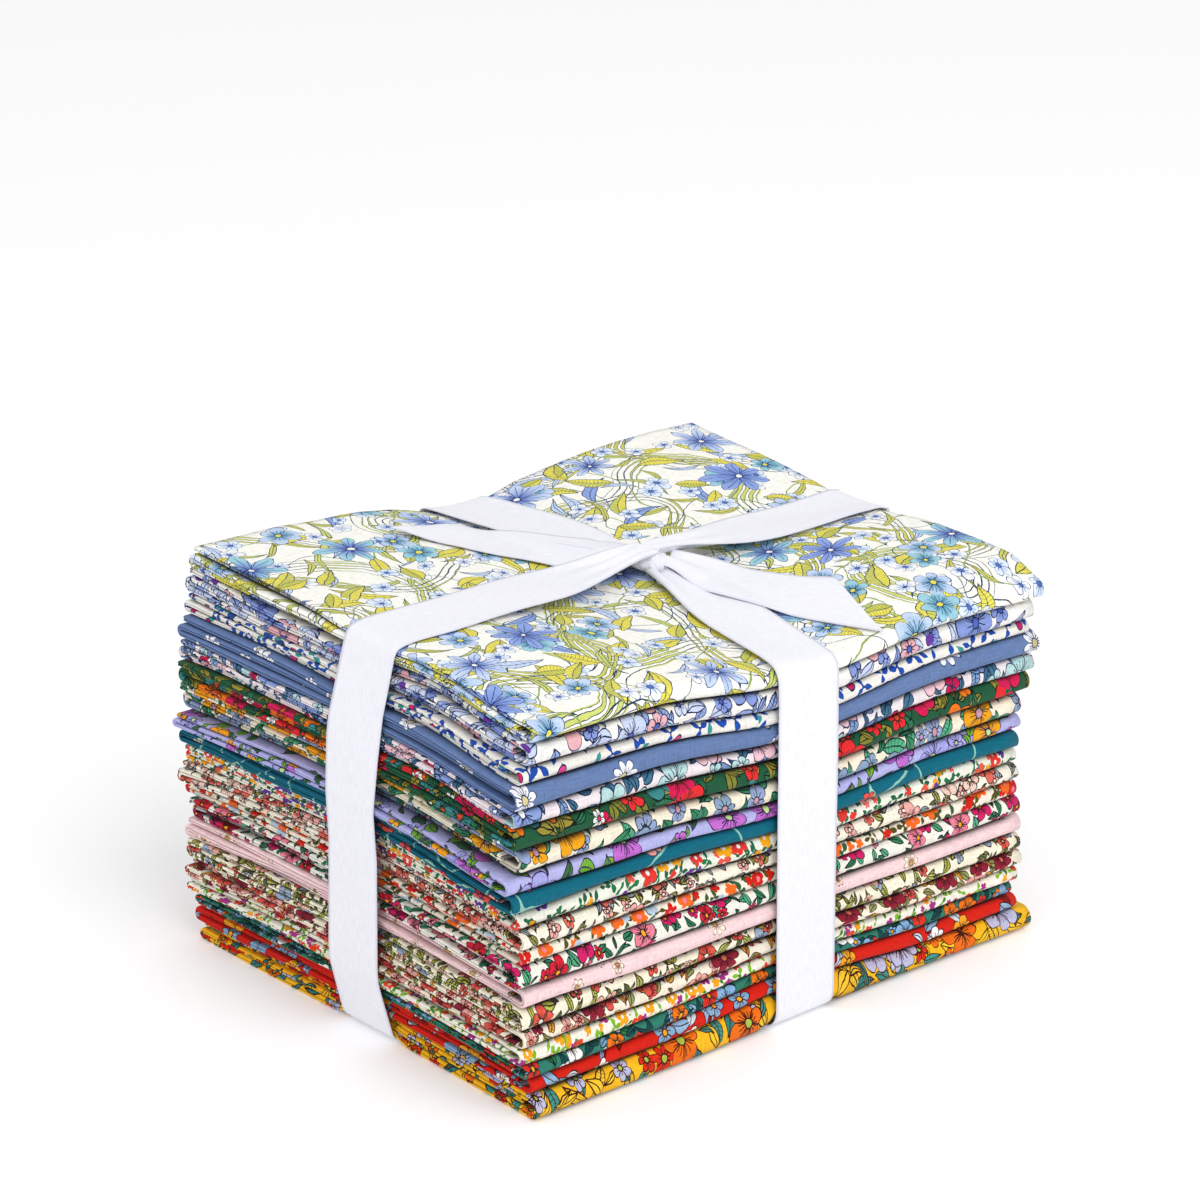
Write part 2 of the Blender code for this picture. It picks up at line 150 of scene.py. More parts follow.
FOLDS = (
    Fold(1.03, 2.5, -1.2, 0.6, 0.0), Fold(1.14, 3.0, -3.3, 0.2, 1.5),
    Fold(0.83, 4.7, -4.8, -0.3, 1.0), Fold(1.11, 6.7, -1.8, 0.5, 0.5),
    Fold(0.94, 8.5, -2.9, 0.0, -0.5), Fold(1.05, 8.9, -4.6, 0.6, -1.0),
    Fold(1.34, 7.5, -6.8, 0.3, 0.0), Fold(0.82, 10.5, -7.3, -0.2, -1.5),
    Fold(0.92, 8.7, -8.3, 0.4, 0.5), Fold(0.98, 7.3, -8.1, -0.4, -1.0),
    Fold(1.01, 6.7, -7.2, 0.0, 1.0), Fold(0.82, 5.9, -8.2, -0.3, 1.5),
    Fold(1.14, 7.0, -6.6, 0.4, -1.5), Fold(1.11, 6.5, -5.9, 0.5, 0.5),
    Fold(1.07, 5.9, -5.8, -0.2, 0.5), Fold(0.93, 6.7, -5.4, 0.1, 0.0),
    Fold(0.82, 6.9, -6.2, -0.4, -0.5), Fold(0.73, 5.3, -6.8, -0.6, -2.0),
    Fold(0.90, 3.4, -5.7, -0.2, 0.5), Fold(1.35, 2.4, -1.7, 1.6, -1.0),
)
TOTAL_SHARE = sum(fold.share for fold in FOLDS)


@dataclass(frozen=True)
class Stack:
    """The tied stack: the surfaces between its cloths, which sink where the ribbon presses."""
    front_left: float = 0.1175
    back_left: float = 0.1222
    front_right: float = 0.1095
    back_right: float = 0.1150
    back_left_sag: float = 0.025
    band_x_y: float = -0.004
    band_y_x: float = 0.001
    press_half: float = 0.012
    press_reach: float = 0.049
    press_left: float = 0.0
    press_right: float = 0.0015
    press_front: float = 0.0045
    press_back: float = 0.0076
    back_wider: float = 0.024
    back_aside: float = 0.005
    press_middle: float = 0.0028
    lift_front: float = 0.0035
    hump_left: float = 0.0027
    hump_right: float = 0.0044
    puff_left: float = 0.0019
    puff_right: float = 0.0024
    left_swell: float = 0.024
    channel_depth: float = 0.00155
    channel_half: float = 0.0132
    channel_slope: float = 0.002
    crush_depth: float = 0.0010
    crush_reach: float = 0.009
    lowest_thinner: float = 0.28
    unevenness: float = 0.22 * MM

    def fading(self, distance: np.ndarray, wider: Union[np.ndarray, float] = 0.0) -> np.ndarray:
        """Full under a band, then a soft fall to nothing at the press's reach."""
        reach = self.press_reach + wider
        t = np.clip((reach - np.abs(distance)) / (reach - self.press_half), 0.0, 1.0)
        return 0.5 * (t + smooth(t))

    def hump(self, x: np.ndarray, y: np.ndarray) -> np.ndarray:
        """How far the quarters of the top puff up: broadly in front, beside the ribbon at the back."""
        u, v = x / HALF_X, y / HALF_Y
        left = self.hump_left * rise(v, -0.9, -0.5) * rise(v, 0.45, -0.45) * rise(u, -0.25, -0.75)
        right = self.hump_right * rise(v, -1.02, -0.82) * rise(v, 0.1, -0.45) * rise(u, 0.25, 0.75)
        behind = rise(v, 0.1, 0.8)
        left = left + self.puff_left * behind * rise(u, -0.06, -0.26) * rise(u, -0.62, -0.37)
        right = right + self.puff_right * behind * rise(u, 0.08, 0.24) * rise(u, 0.98, 0.38)
        return left + right

    @staticmethod
    def three_point(value: np.ndarray, low: float, middle: float, high: float) -> np.ndarray:
        """The value low at -1, middle at 0 and high at 1, straight in between and beyond."""
        return np.where(value < 0.0, middle + (middle - low) * value, middle + (high - middle) * value)

    def crush(self, x: np.ndarray, y: np.ndarray) -> np.ndarray:
        """How far the ribbon rounds the stack's upper edges off where it turns over them."""
        under_x = smooth((0.026 - np.abs(y - self.band_x_y)) / 0.015)
        under_y = smooth((0.026 - np.abs(x - self.band_y_x)) / 0.015)
        edge_x = np.clip(1.0 - (HALF_X + 2.0 * MM - np.abs(x)) / self.crush_reach, 0.0, 1.3) ** 2
        edge_y = np.clip(1.0 - (HALF_Y - np.abs(y)) / self.crush_reach, 0.0, 1.3) ** 2
        return self.crush_depth * np.maximum(under_x * edge_x, 0.6 * under_y * edge_y)

    def top(self, x: np.ndarray, y: np.ndarray) -> np.ndarray:
        """Height of the top cloth: a slanting plane through the corners, pressed by the bands."""
        u, v = x / HALF_X, y / HALF_Y
        left = self.front_left * (1 - v) + self.back_left * (1 + v)
        right = self.front_right * (1 - v) + self.back_right * (1 + v)
        plane = (left * (1 - u) + right * (1 + u)) / 4.0
        along_x = self.three_point(u, self.press_left, self.press_middle, self.press_right)
        along_y = self.three_point(v, self.press_front, self.press_middle, self.press_back)
        along_x = along_x * self.fading(y - self.band_x_y)
        back = np.clip(0.5 + 0.5 * v, 0.0, 1.0)
        along_y = along_y * self.fading(x - self.band_y_x - self.back_aside * back, self.back_wider * back)
        return plane + self.hump(x, y) - (along_x + along_y - along_x * along_y / self.press_middle)

    def channel(self, x: np.ndarray, y: np.ndarray) -> np.ndarray:
        """How far the underside is pushed up by the bands that pass below the stack."""
        across = (np.abs(x - self.band_y_x), np.abs(y - self.band_x_y))
        ramps = [smooth((self.channel_half + self.channel_slope - d) / self.channel_slope) for d in across]
        return self.channel_depth * np.maximum(ramps[0], ramps[1])

    def surface(self, number: int, x: np.ndarray, y: np.ndarray) -> np.ndarray:
        """Height of the surface with this many cloths below it, uneven as real cloth is."""
        if number == 0:
            return self.channel(x, y)
        share = 1.0 - sum(fold.share for fold in FOLDS[:CLOTH_COUNT - number]) / TOTAL_SHARE
        lift = self.lift_front * self.fading(x - self.band_y_x) * np.maximum(-y / HALF_Y, 0.0)
        u, v = x / HALF_X, y / HALF_Y
        swell = self.left_swell * smooth(-u) * np.clip(1.0 - v * v, 0.0, 1.0)
        sag = self.back_left_sag * (1.0 - u) * (1.0 + v) / 4.0 - swell
        sunk = share - 4.0 * share * (1.0 - share) * sag
        hump = self.hump(x, y)
        height = sunk * (self.top(x, y) - hump) + hump * share ** 3 + lift * (1.0 - share) ** 2
        if number == 1:
            height = height * (1.0 - self.lowest_thinner * smooth(-u) * rise(v, -0.3, 0.9))
        uneven = self.unevenness * Ripple(40 + number, 0.07)(x, y) * min(1.0, 6.0 * share)
        return height + uneven - self.crush(x, y) * share ** 6


@dataclass(frozen=True)
class Section:
    """The strip's middle line in the Y-Z plane, its outward normals and its running length."""
    y: np.ndarray
    z: np.ndarray
    normal_y: np.ndarray
    normal_z: np.ndarray
    run: np.ndarray


@dataclass(frozen=True)
class FoldedCloth:
    """A fat quarter: three layers laid flat on each other, then rolled into three passes."""
    stack: Stack
    index: int
    thickness: float = 0.28 * MM
    gap: float = 0.45 * MM
    detail: int = 1

    @property
    def fold(self) -> Fold:
        """This cloth's row of the table."""
        return FOLDS[self.index]

    @property
    def thick(self) -> float:
        """Mean height of this cloth in the stack."""
        stack = self.stack
        mean = (stack.front_left + stack.back_left + stack.front_right + stack.back_right) / 4.0
        return self.fold.share / TOTAL_SHARE * mean - self.gap

    @property
    def strip(self) -> float:
        """Thickness of the three layers that are rolled together."""
        return (self.thick - 2.0 * self.gap) / 3.0

    def section(self) -> Section:
        """Top pass to the front turn, the bottom pass, the back turn and the middle pass that is folded in."""
        thick, strip = self.thick, self.strip
        front = -HALF_Y - self.fold.front * MM
        back = HALF_Y + self.fold.back * MM
        front_radius = (thick - strip) / 2.0
        back_radius = (strip + self.gap) / 2.0
        front_y = front + thick / 2.0
        back_y = back - back_radius - strip / 2.0
        count = 19 * self.detail
        band = self.stack.band_x_y, 16.0 * MM
        top = stations(back - 1.5 * MM, front_y, count, *band)
        bottom = stations(front_y, back_y, count, *band)
        middle = stations(back_y, front + strip + 5.0 * MM, count, *band)
        front_turn = np.linspace(math.pi / 2, 3 * math.pi / 2, 15)[1:-1]
        back_turn = np.linspace(-math.pi / 2, math.pi / 2, 9)[1:-1]
        y = np.concatenate([top, front_y + front_radius * np.cos(front_turn), bottom,
                            back_y + back_radius * np.cos(back_turn), middle])
        z = np.concatenate([np.full(len(top), thick - strip / 2.0),
                            thick / 2.0 + front_radius * np.sin(front_turn),
                            np.full(len(bottom), strip / 2.0),
                            strip / 2.0 + back_radius + back_radius * np.sin(back_turn),
                            np.full(len(middle), strip / 2.0 + 2.0 * back_radius)])
        angle = np.concatenate([np.full(len(top), math.pi / 2), front_turn, np.full(len(bottom),
                                                                                    -math.pi / 2),
                                back_turn, np.full(len(middle), math.pi / 2)])
        step = np.hypot(np.diff(y), np.diff(z))
        run = np.concatenate([[0.0], np.cumsum(step)])
        return Section(y, z, np.cos(angle), np.sin(angle), run / run[-1] * CLOTH_SHORT)

    def layers(self) -> tuple:
        """Where the cloth runs across its three layers.

        Returns:
            Share of the way from the left edge to the right one, the offset from there in metres,
            the place in the strip's thickness from -0.5 to 0.5, the running length, and how deep in
            the crease between the two folded edges of the left turn, which sets the painted shade there.
        """
        limit = 0.5 - self.thickness / self.strip / 2.0
        tall = limit * self.strip
        low = tall / 2.0
        count = 20 * self.detail
        width = 2.0 * HALF_X + (self.fold.left + self.fold.right) * MM
        band = (self.stack.band_y_x + HALF_X + self.fold.left * MM) / width, 16.0 * MM / width
        turn = np.linspace(0.0, 1.0, 17)
        crease = np.exp(-((turn - 0.5) / 0.075) ** 2)
        lobes = -np.sqrt(np.sin(math.pi * turn)) * (1.0 - 0.6 * crease)
        right_turn = np.linspace(math.pi / 2, -math.pi / 2, 7)
        inner = stations(0.014, 1.0, count, *band)
        outer = stations(1.0, 0.0, count, *band)[1:-1]
        upper = stations(0.0, 1.0, count, *band)[1:]
        share = np.concatenate([inner, np.ones(7), outer, np.zeros(17), upper])
        bulge = np.concatenate([np.zeros(len(inner)), low * 1.2 * np.cos(right_turn), np.zeros(len(outer)),
                                tall * 1.25 * lobes, np.zeros(len(upper))])
        bulge = bulge + tall * 1.25 * (1.0 - share) - low * 1.2 * share
        place = np.concatenate([np.zeros(len(inner)), -low + low * np.sin(right_turn), np.full(len(outer),
                                                                                               -tall),
                                -tall * np.cos(math.pi * turn), np.full(len(upper), tall)]) / self.strip
        step = np.hypot(np.diff(share * width + bulge), np.diff(place * self.strip))
        run = np.concatenate([[0.0], np.cumsum(step)])
        depth = np.concatenate([np.zeros(len(inner) + 7 + len(outer)), crease, np.zeros(len(upper))])
        return share, bulge, place, run / run[-1] * CLOTH_LONG, depth

    def grid(self) -> tuple:
        """Points of the folded sheet as a grid, each point's place on the flat cloth, and its strength of painted
        shade.
        """
        section = self.section()
        share, bulge, place, run, crease = self.layers()
        sway = Ripple(200 + self.index, 0.11)(section.run) * 0.55 * MM
        sway = sway + Ripple(500 + self.index, 0.34)(section.run) * 0.5 * MM
        left = -HALF_X - self.fold.left * MM + sway
        right = HALF_X + self.fold.right * MM + Ripple(300 + self.index, 0.12)(section.run) * 0.4 * MM
        share, bulge, place = share[:, None], bulge[:, None], place[:, None]
        x = left[None] * (1.0 - share) + right[None] * share + bulge
        bow = Ripple(400 + self.index, 0.12)(x) * 0.35 * MM * smooth((0.02 - HALF_Y - section.y) / 0.02)
        y = section.y[None] + place * self.strip * section.normal_y[None] + bow
        rise = (section.z[None] + place * self.strip * section.normal_z[None]) / self.thick
        rise = rise + 0.03 * Ripple(700 + self.index, 0.06)(x, y) * np.sin(2.0 * math.pi * rise)
        number = CLOTH_COUNT - self.index
        below = self.stack.surface(number - 1, x, y) + (0.5 * self.gap if number > 1 else self.thickness / 2)
        above = self.stack.surface(number, x, y) - 0.5 * self.gap
        points = np.stack([x, y, below + (above - below) * rise], axis=-1)
        flat = np.stack(np.broadcast_arrays(run[:, None], section.run[None]), axis=-1)
        # Painted shade: 0 on the open top, growing deep inside the stack and in the left turn's crease.
        skin = (place > 0.3) & (section.run[None] < 0.69 * CLOTH_SHORT)
        is_open = skin & (section.run[None] < 0.42 * CLOTH_SHORT) & (self.index == 0)
        tucked_shade = np.where(is_open, 0.0, self.tucked_shade(x, y, rise, skin))
        return points, flat, np.maximum(tucked_shade, 0.9 * crease[:, None])

    def tucked_shade(self, x: np.ndarray, y: np.ndarray, rise: np.ndarray, skin: np.ndarray) -> np.ndarray:
        """How far inside the stack points lie, as the strength of painted shade: 0 in the open, 1 from about 3 mm
        behind the edges.

        Args:
            rise: Share of the cloth's height below the point.
            skin: Whether the point is on the cloth's outside, so that a neighbour may cover it.
        """
        above = FOLDS[max(self.index - 1, 0)]
        below = FOLDS[min(self.index + 1, CLOTH_COUNT - 1)]
        reach = []
        for side in ("left", "right", "front", "back"):
            own = getattr(self.fold, side)
            upper, lower = (min(own, getattr(next_to, side)) for next_to in (above, below))
            reach.append(np.where(skin, np.where(rise > 0.5, upper, lower), own) * MM)
        depth = np.minimum(np.minimum(x + HALF_X + reach[0], HALF_X + reach[1] - x),
                           np.minimum(y + HALF_Y + reach[2], HALF_Y + reach[3] - y))
        return smooth((depth - 0.6 * MM) / (2.0 * MM))


def grid_faces(rows: int, columns: int, start: int = 0, ring: bool = False) -> np.ndarray:
    """Four-sided faces of a grid of vertices, closed round its rows if it is a ring."""
    number = np.arange(rows * columns).reshape(rows, columns) + start
    if ring:
        number = np.concatenate([number, number[:1]], axis=0)
    corners = (number[:-1, :-1], number[1:, :-1], number[1:, 1:], number[:-1, 1:])
    return np.stack([c.ravel() for c in corners], axis=1)


def build_mesh(name: str, points: np.ndarray, faces: np.ndarray, flat: np.ndarray, wall: float,
               material: bpy.types.Material, tucked_shade: Optional[np.ndarray] = None) -> bpy.types.Object:
    """A mesh object from vertices, faces and flat places, with walls of the cloth's thickness.

    Args:
        points: Vertex places as rows, in the frame that the solids were drawn in.
        faces: Vertex numbers, four to a row.
        flat: Each vertex's place on the flat cloth in metres.
        wall: Thickness of the finished sheet.
        tucked_shade: How far inside the stack each vertex lies, from 0 to 1, which sets the strength of its
            painted shade.
    """
    mesh = bpy.data.meshes.new(name)
    mesh.from_pydata((points + DRAWN_SHIFT).tolist(), [], faces.tolist())
    layer = mesh.uv_layers.new(name="cloth")
    corner = np.empty(len(mesh.loops), dtype=np.int32)
    mesh.loops.foreach_get("vertex_index", corner)
    layer.data.foreach_set("uv", flat[corner].astype(np.float32).ravel())
    # Strength of the painted shade, kept on the mesh for the material.
    if tucked_shade is not None:
        inside = mesh.attributes.new("tucked_shade", "FLOAT", "POINT")
        inside.data.foreach_set("value", tucked_shade.astype(np.float32).ravel())
    body = bmesh.new()
    body.from_mesh(mesh)
    bmesh.ops.recalc_face_normals(body, faces=body.faces)
    body.to_mesh(mesh)
    body.free()
    mesh.polygons.foreach_set("use_smooth", np.ones(len(mesh.polygons), dtype=bool))
    mesh.materials.append(material)
    piece = bpy.data.objects.new(name, mesh)
    bpy.context.scene.collection.objects.link(piece)
    solid = piece.modifiers.new("Wall", "SOLIDIFY")
    solid.thickness = wall
    solid.offset = 0.0
    return piece


def joined(operation: str, flipped: bool = False) -> Callable:
    """A method that joins a signal with other values in one Math node."""
    def join(self: "Signal", *others: Union["Signal", float]) -> "Signal":
        values = (self, *others)
        return self.graph.maths(operation, *(reversed(values) if flipped else values))
    return join


class Signal:
    """A shader socket that can be used in sums like a number."""

    def __init__(self, graph: "Graph", socket: bpy.types.NodeSocket) -> None:
        self.graph = graph
        self.socket = socket

    __add__ = joined("ADD")
    __radd__ = joined("ADD", flipped=True)
    __sub__ = joined("SUBTRACT")
    __rsub__ = joined("SUBTRACT", flipped=True)
    __mul__ = joined("MULTIPLY")
    __rmul__ = joined("MULTIPLY", flipped=True)
    __truediv__ = joined("DIVIDE")
    __rtruediv__ = joined("DIVIDE", flipped=True)
    __pow__ = joined("POWER")
    __abs__ = joined("ABSOLUTE")
    __lt__ = joined("LESS_THAN")
    __gt__ = joined("GREATER_THAN")


class Graph:
    """Builds one material's nodes."""

    def __init__(self, name: str) -> None:
        self.material = bpy.data.materials.new(name)
        self.material.use_nodes = True
        self.tree = self.material.node_tree
        self.tree.nodes.clear()

    def node(self, kind: str, settings: Optional[dict] = None,
             inputs: Optional[dict] = None) -> bpy.types.Node:
        """Add one node.

        Args:
            kind: Blender's name for the node type.
            settings: Properties, which are set first.
            inputs: Values or signals for input sockets, by name or number.
        """
        node = self.tree.nodes.new(kind)
        for key, value in (settings or {}).items():
            setattr(node, key, value)
        for key, value in (inputs or {}).items():
            self.feed(node.inputs[key], value)
        return node

    def feed(self, socket: bpy.types.NodeSocket, value: object) -> None:
        """Link a signal to an input socket, or set a plain value on it."""
        if isinstance(value, Signal):
            self.tree.links.new(value.socket, socket)
        elif isinstance(value, Colour):
            socket.default_value = seen(value)
        elif isinstance(value, tuple) and len(socket.default_value) == 4:
            socket.default_value = (*value[:3], 1.0)
        else:
            socket.default_value = value

    def signal(self, kind: str, settings: Optional[dict] = None, inputs: Optional[dict] = None,
               output: Union[int, str] = 0) -> Signal:
        """One output of a new node."""
        return Signal(self, self.node(kind, settings, inputs).outputs[output])

    def parts(self, place: Signal) -> tuple:
        """The first and second part of a vector."""
        node = self.node("ShaderNodeSeparateXYZ", None, {0: place})
        return Signal(self, node.outputs[0]), Signal(self, node.outputs[1])

    def principled(self, inputs: dict) -> bpy.types.Material:
        """Finish the material with one Principled BSDF."""
        shader = self.node("ShaderNodeBsdfPrincipled", None, inputs)
        output = self.node("ShaderNodeOutputMaterial")
        self.tree.links.new(shader.outputs[0], output.inputs[0])
        return self.material

    def maths(self, operation: str, *values: Union[Signal, float]) -> Signal:
        """One Math node."""
        return self.signal("ShaderNodeMath", {"operation": operation}, dict(enumerate(values)))

    def vector(self, operation: str, *values: object, output: int = 0) -> Signal:
        """One Vector Math node."""
        return self.signal("ShaderNodeVectorMath", {"operation": operation}, dict(enumerate(values)), output)

    def blend(self, factor: Union[Signal, float], first: object, second: object) -> Signal:
        """The first colour where the factor is 0, the second where it is 1."""
        return self.signal("ShaderNodeMix", {"data_type": "RGBA"}, {0: factor, 6: first, 7: second}, 2)

    def noise(self, place: Signal, scale: float, detail: float = 2.0, output: str = "Fac") -> Signal:
        """Noise in two dimensions."""
        return self.signal("ShaderNodeTexNoise", {"noise_dimensions": "2D"},
                           {"Vector": place, "Scale": scale, "Detail": detail}, output)

    def ramp(self, value: Signal, low: float, high: float) -> Signal:
        """An even rise from 0 to 1 between two values, held beyond them."""
        return self.signal("ShaderNodeMapRange", {"clamp": True},
                           {"Value": value, "From Min": low, "From Max": high})

    def most(self, first: Signal, second: Union[Signal, float]) -> Signal:
        """The greater of two values."""
        return self.maths("MAXIMUM", first, second)


@dataclass(frozen=True)
class Spot:
    """The frame of the nearest motif: where a shader point lies in it, and its random numbers."""
    along: Signal
    across: Signal
    radius: Signal
    pick: Signal
    size: Signal
    kept: Signal


@dataclass(frozen=True)
class Motif:
    """One kind of printed shape, scattered over the cloth.

    Sizes are shares of the spacing, apart from the line's thickness, which is in metres.
    """
    spacing: float
    colours: tuple
    outline: Optional[Colour] = None
    line: float = 0.35 * MM
    keep: float = 1.0
    seed: float = 0.0
    loose: float = 0.75

    def spot(self, graph: Graph, place: Signal) -> Spot:
        """Scatter the motifs and turn each at random."""
        shift = (3.7 * self.seed + 0.31, 7.9 * self.seed + 0.77, 0.0)
        scaled = graph.vector("MULTIPLY_ADD", place, (1.0 / self.spacing,) * 3, shift)
        cells = graph.node("ShaderNodeTexVoronoi", {"voronoi_dimensions": "2D", "feature": "F1"},
                           {"Vector": scaled, "Scale": 1.0, "Randomness": self.loose})
        local = graph.vector("SUBTRACT", scaled, Signal(graph, cells.outputs["Position"]))
        draw = graph.node("ShaderNodeSeparateColor", None, {0: Signal(graph, cells.outputs["Color"])})
        red, green, blue = (Signal(graph, draw.outputs[i]) for i in range(3))
        turned = graph.signal("ShaderNodeVectorRotate", {"rotation_type": "Z_AXIS"},
                              {"Vector": local, "Angle": red * (2.0 * math.pi)})
        along, across = graph.parts(turned)
        radius = graph.vector("LENGTH", local, output=1)
        return Spot(along, across, radius, green, 0.78 + 0.22 * blue, blue < self.keep)

    def colour(self, graph: Graph, spot: Spot) -> Union[Signal, Colour]:
        """One of the motif's colours, drawn for each place."""
        chosen = self.colours[0]
        for number, other in enumerate(self.colours[1:], start=1):
            chosen = graph.blend(spot.pick > number / len(self.colours), chosen, other)
        return chosen

    def paint(self, graph: Graph, place: Signal, under: object) -> Signal:
        """Paint the motifs over what is there."""
        raise NotImplementedError

    def lay(self, graph: Graph, under: object, spot: Spot, margin: Signal, fill: object,
            marks: Optional[Signal]) -> Signal:
        """Fill the shape, then draw its marks and its outline over it."""
        inside = (margin > 0.0) * spot.kept
        if self.outline is None:
            return graph.blend(inside, under, fill)
        inked = margin < self.line / self.spacing
        if marks is not None:
            inked = graph.most(inked, marks)
        return graph.blend(inside, under, graph.blend(inked, fill, self.outline))


@dataclass(frozen=True)
class Bloom(Motif):
    """Flowers seen from above: petals round an eye."""
    petals: int = 5
    size: float = 0.42
    cut: float = 0.5
    point: float = 2.4
    inner: Optional[Colour] = None
    eye: Optional[Colour] = None
    eye_size: float = 0.2
    vein: float = 0.55
    rays: int = 1

    def paint(self, graph: Graph, place: Signal, under: object) -> Signal:
        """Paint petals whose edge falls back between neighbours, with veins and an eye."""
        spot = self.spot(graph, place)
        angle = graph.maths("ARCTAN2", spot.across, spot.along)
        part = graph.maths("FRACT", angle * (self.petals / (2.0 * math.pi)) + 20.0)
        off = abs(part * 2.0 - 1.0)
        uneven = graph.noise(place, 1.3 / self.spacing, 0.0)
        reach = spot.size * self.size * (0.62 + 0.66 * uneven)
        edge = reach * (1.0 - self.cut * off ** self.point)
        margin = edge - spot.radius
        half = math.pi / self.petals
        thin = self.line / self.spacing
        marks = (spot.radius * (1.0 - off)) < thin / half / 2.0
        if self.vein > 0.0:
            ray = abs(graph.maths("FRACT", part * self.rays) * 2.0 - 1.0)
            vein = (spot.radius * ray) < thin / half * self.rays / 2.8
            marks = graph.most(marks, vein * (spot.radius < reach * self.vein))
        fill = self.colour(graph, spot)
        if self.inner is not None:
            fill = graph.blend(graph.ramp(spot.radius / reach, 0.75, 0.15), fill, self.inner)
        painted = self.lay(graph, under, spot, margin, fill, marks)
        if self.eye is not None:
            rim = reach * self.eye_size
            if self.outline is not None:
                painted = graph.blend((spot.radius < rim + thin) * spot.kept, painted, self.outline)
            painted = graph.blend((spot.radius < rim) * spot.kept, painted, self.eye)
        return painted


@dataclass(frozen=True)
class Leaf(Motif):
    """Leaves, each pointed at both ends, alone or in a spray round a centre."""
    length: float = 0.4
    width: float = 0.13
    bend: float = 0.0
    spray: int = 0
    shade: Optional[Colour] = None
    rib: bool = True
    veins: float = 0.0
    stem: Optional[Colour] = None

    def paint(self, graph: Graph, place: Signal, under: object) -> Signal:
        """Paint a leaf whose width falls off from its middle to its tips, with a darker half."""
        spot = self.spot(graph, place)
        along, across = spot.along, spot.across
        long = self.length
        if self.spray:
            angle = graph.maths("ARCTAN2", across, along)
            part = graph.maths("FRACT", angle * (self.spray / (2.0 * math.pi)) + 20.0)
            angle = (part - 0.5) * (2.0 * math.pi / self.spray)
            along = spot.radius * graph.maths("COSINE", angle) - long * 1.12
            across = spot.radius * graph.maths("SINE", angle)
        share = along / (long * spot.size)
        if self.bend:
            across = across - self.bend * (share * share - 0.5)
        edge = self.width * (1.0 - share * share) * (1.0 - 0.3 * share)
        margin = edge - abs(across)
        thin = self.line / self.spacing
        fill = self.colour(graph, spot)
        if self.shade is not None:
            fill = graph.blend(across > 0.0, fill, self.shade)
        marks = abs(across) < thin * 0.45 if self.rib else None
        if self.veins:
            side = graph.maths("FRACT", share * self.veins - abs(across) * (0.7 / self.width))
            marks = graph.most(marks, side < thin * 0.45 * self.veins / long)
        if self.stem is not None:
            stalk = (abs(across) < thin * 0.9) * (along < 0.0) * spot.kept
            under = graph.blend(stalk, under, self.stem)
        return self.lay(graph, under, spot, margin, fill, marks)


@dataclass(frozen=True)
class Stem(Motif):
    """Long arching stems: level lines of a slow noise, green between two inked edges."""
    width: float = 1.0 * MM
    level: float = 0.5
    strands: int = 1
    pitch: float = 2.2 * MM

    def paint(self, graph: Graph, place: Signal, under: object) -> Signal:
        """Paint a band where the noise is close to one level."""
        shift = (3.7 * self.seed + 1.31, 5.9 * self.seed + 2.77, 0.0)
        step = 0.3 * MM
        wave, right, up = (graph.noise(graph.vector("ADD", place, (shift[0] + a, shift[1] + b, 0.0)),
                                       1.0 / self.spacing, 0.0)
                           for a, b in ((0.0, 0.0), (step, 0.0), (0.0, step)))
        right, up = right - wave, up - wave
        slope = graph.maths("SQRT", right * right + up * up) / step
        near = (wave - self.level) / graph.most(slope, 0.3 / self.spacing)
        half = self.width / 2.0
        if self.strands > 1:
            far = abs(near) > self.strands * self.pitch / 2.0
            near = (graph.maths("FRACT", near / self.pitch + 0.5) - 0.5) * self.pitch + far
            ends = graph.noise(graph.vector("ADD", place, (*shift[:2], 0.0)), 1.6 / self.spacing, 0.0)
            half = graph.ramp(ends, 0.40, 0.56) * half
        near = abs(near)
        if self.outline is not None:
            under = graph.blend(near < half + self.line, under, self.outline)
        return graph.blend(near < half, under, self.colours[0])


@dataclass(frozen=True)
class Dot(Motif):
    """Small round spots, such as berries and buds."""
    size: float = 0.2

    def paint(self, graph: Graph, place: Signal, under: object) -> Signal:
        """Paint a disc."""
        spot = self.spot(graph, place)
        margin = self.size * spot.size - spot.radius
        return self.lay(graph, under, spot, margin, self.colour(graph, spot), None)


IVORY = "FAF9F2"
CREAM = "F5EEE0"
WHITE = "F7F7F5"
NAVY = "1F2E5C"
INK = "294561"
BLACK = "1A1A24"
LIME = "EDE366"
LEAF = "D4D470"
BLADE = "D4DB80"
PERIWINKLE = "99B0E6"
PALE_BLUE = "CCDBF5"
AQUA = "A8D4E0"
GOLD = "F5AD1A"
CORAL = "EB6152"
MAGENTA = "D62470"
MINT = "61B88F"
GREEN = "248052"
OLIVE = "8A8A38"
RED = "D62414"
ORANGE = "F28014"
VIOLET = "7042A3"
GREY_BLUE = "94ABC7"


@dataclass(frozen=True)
class Print:
    """One cloth's look: its ground colour and its motifs from the first printed to the last."""
    ground: Colour
    motifs: tuple


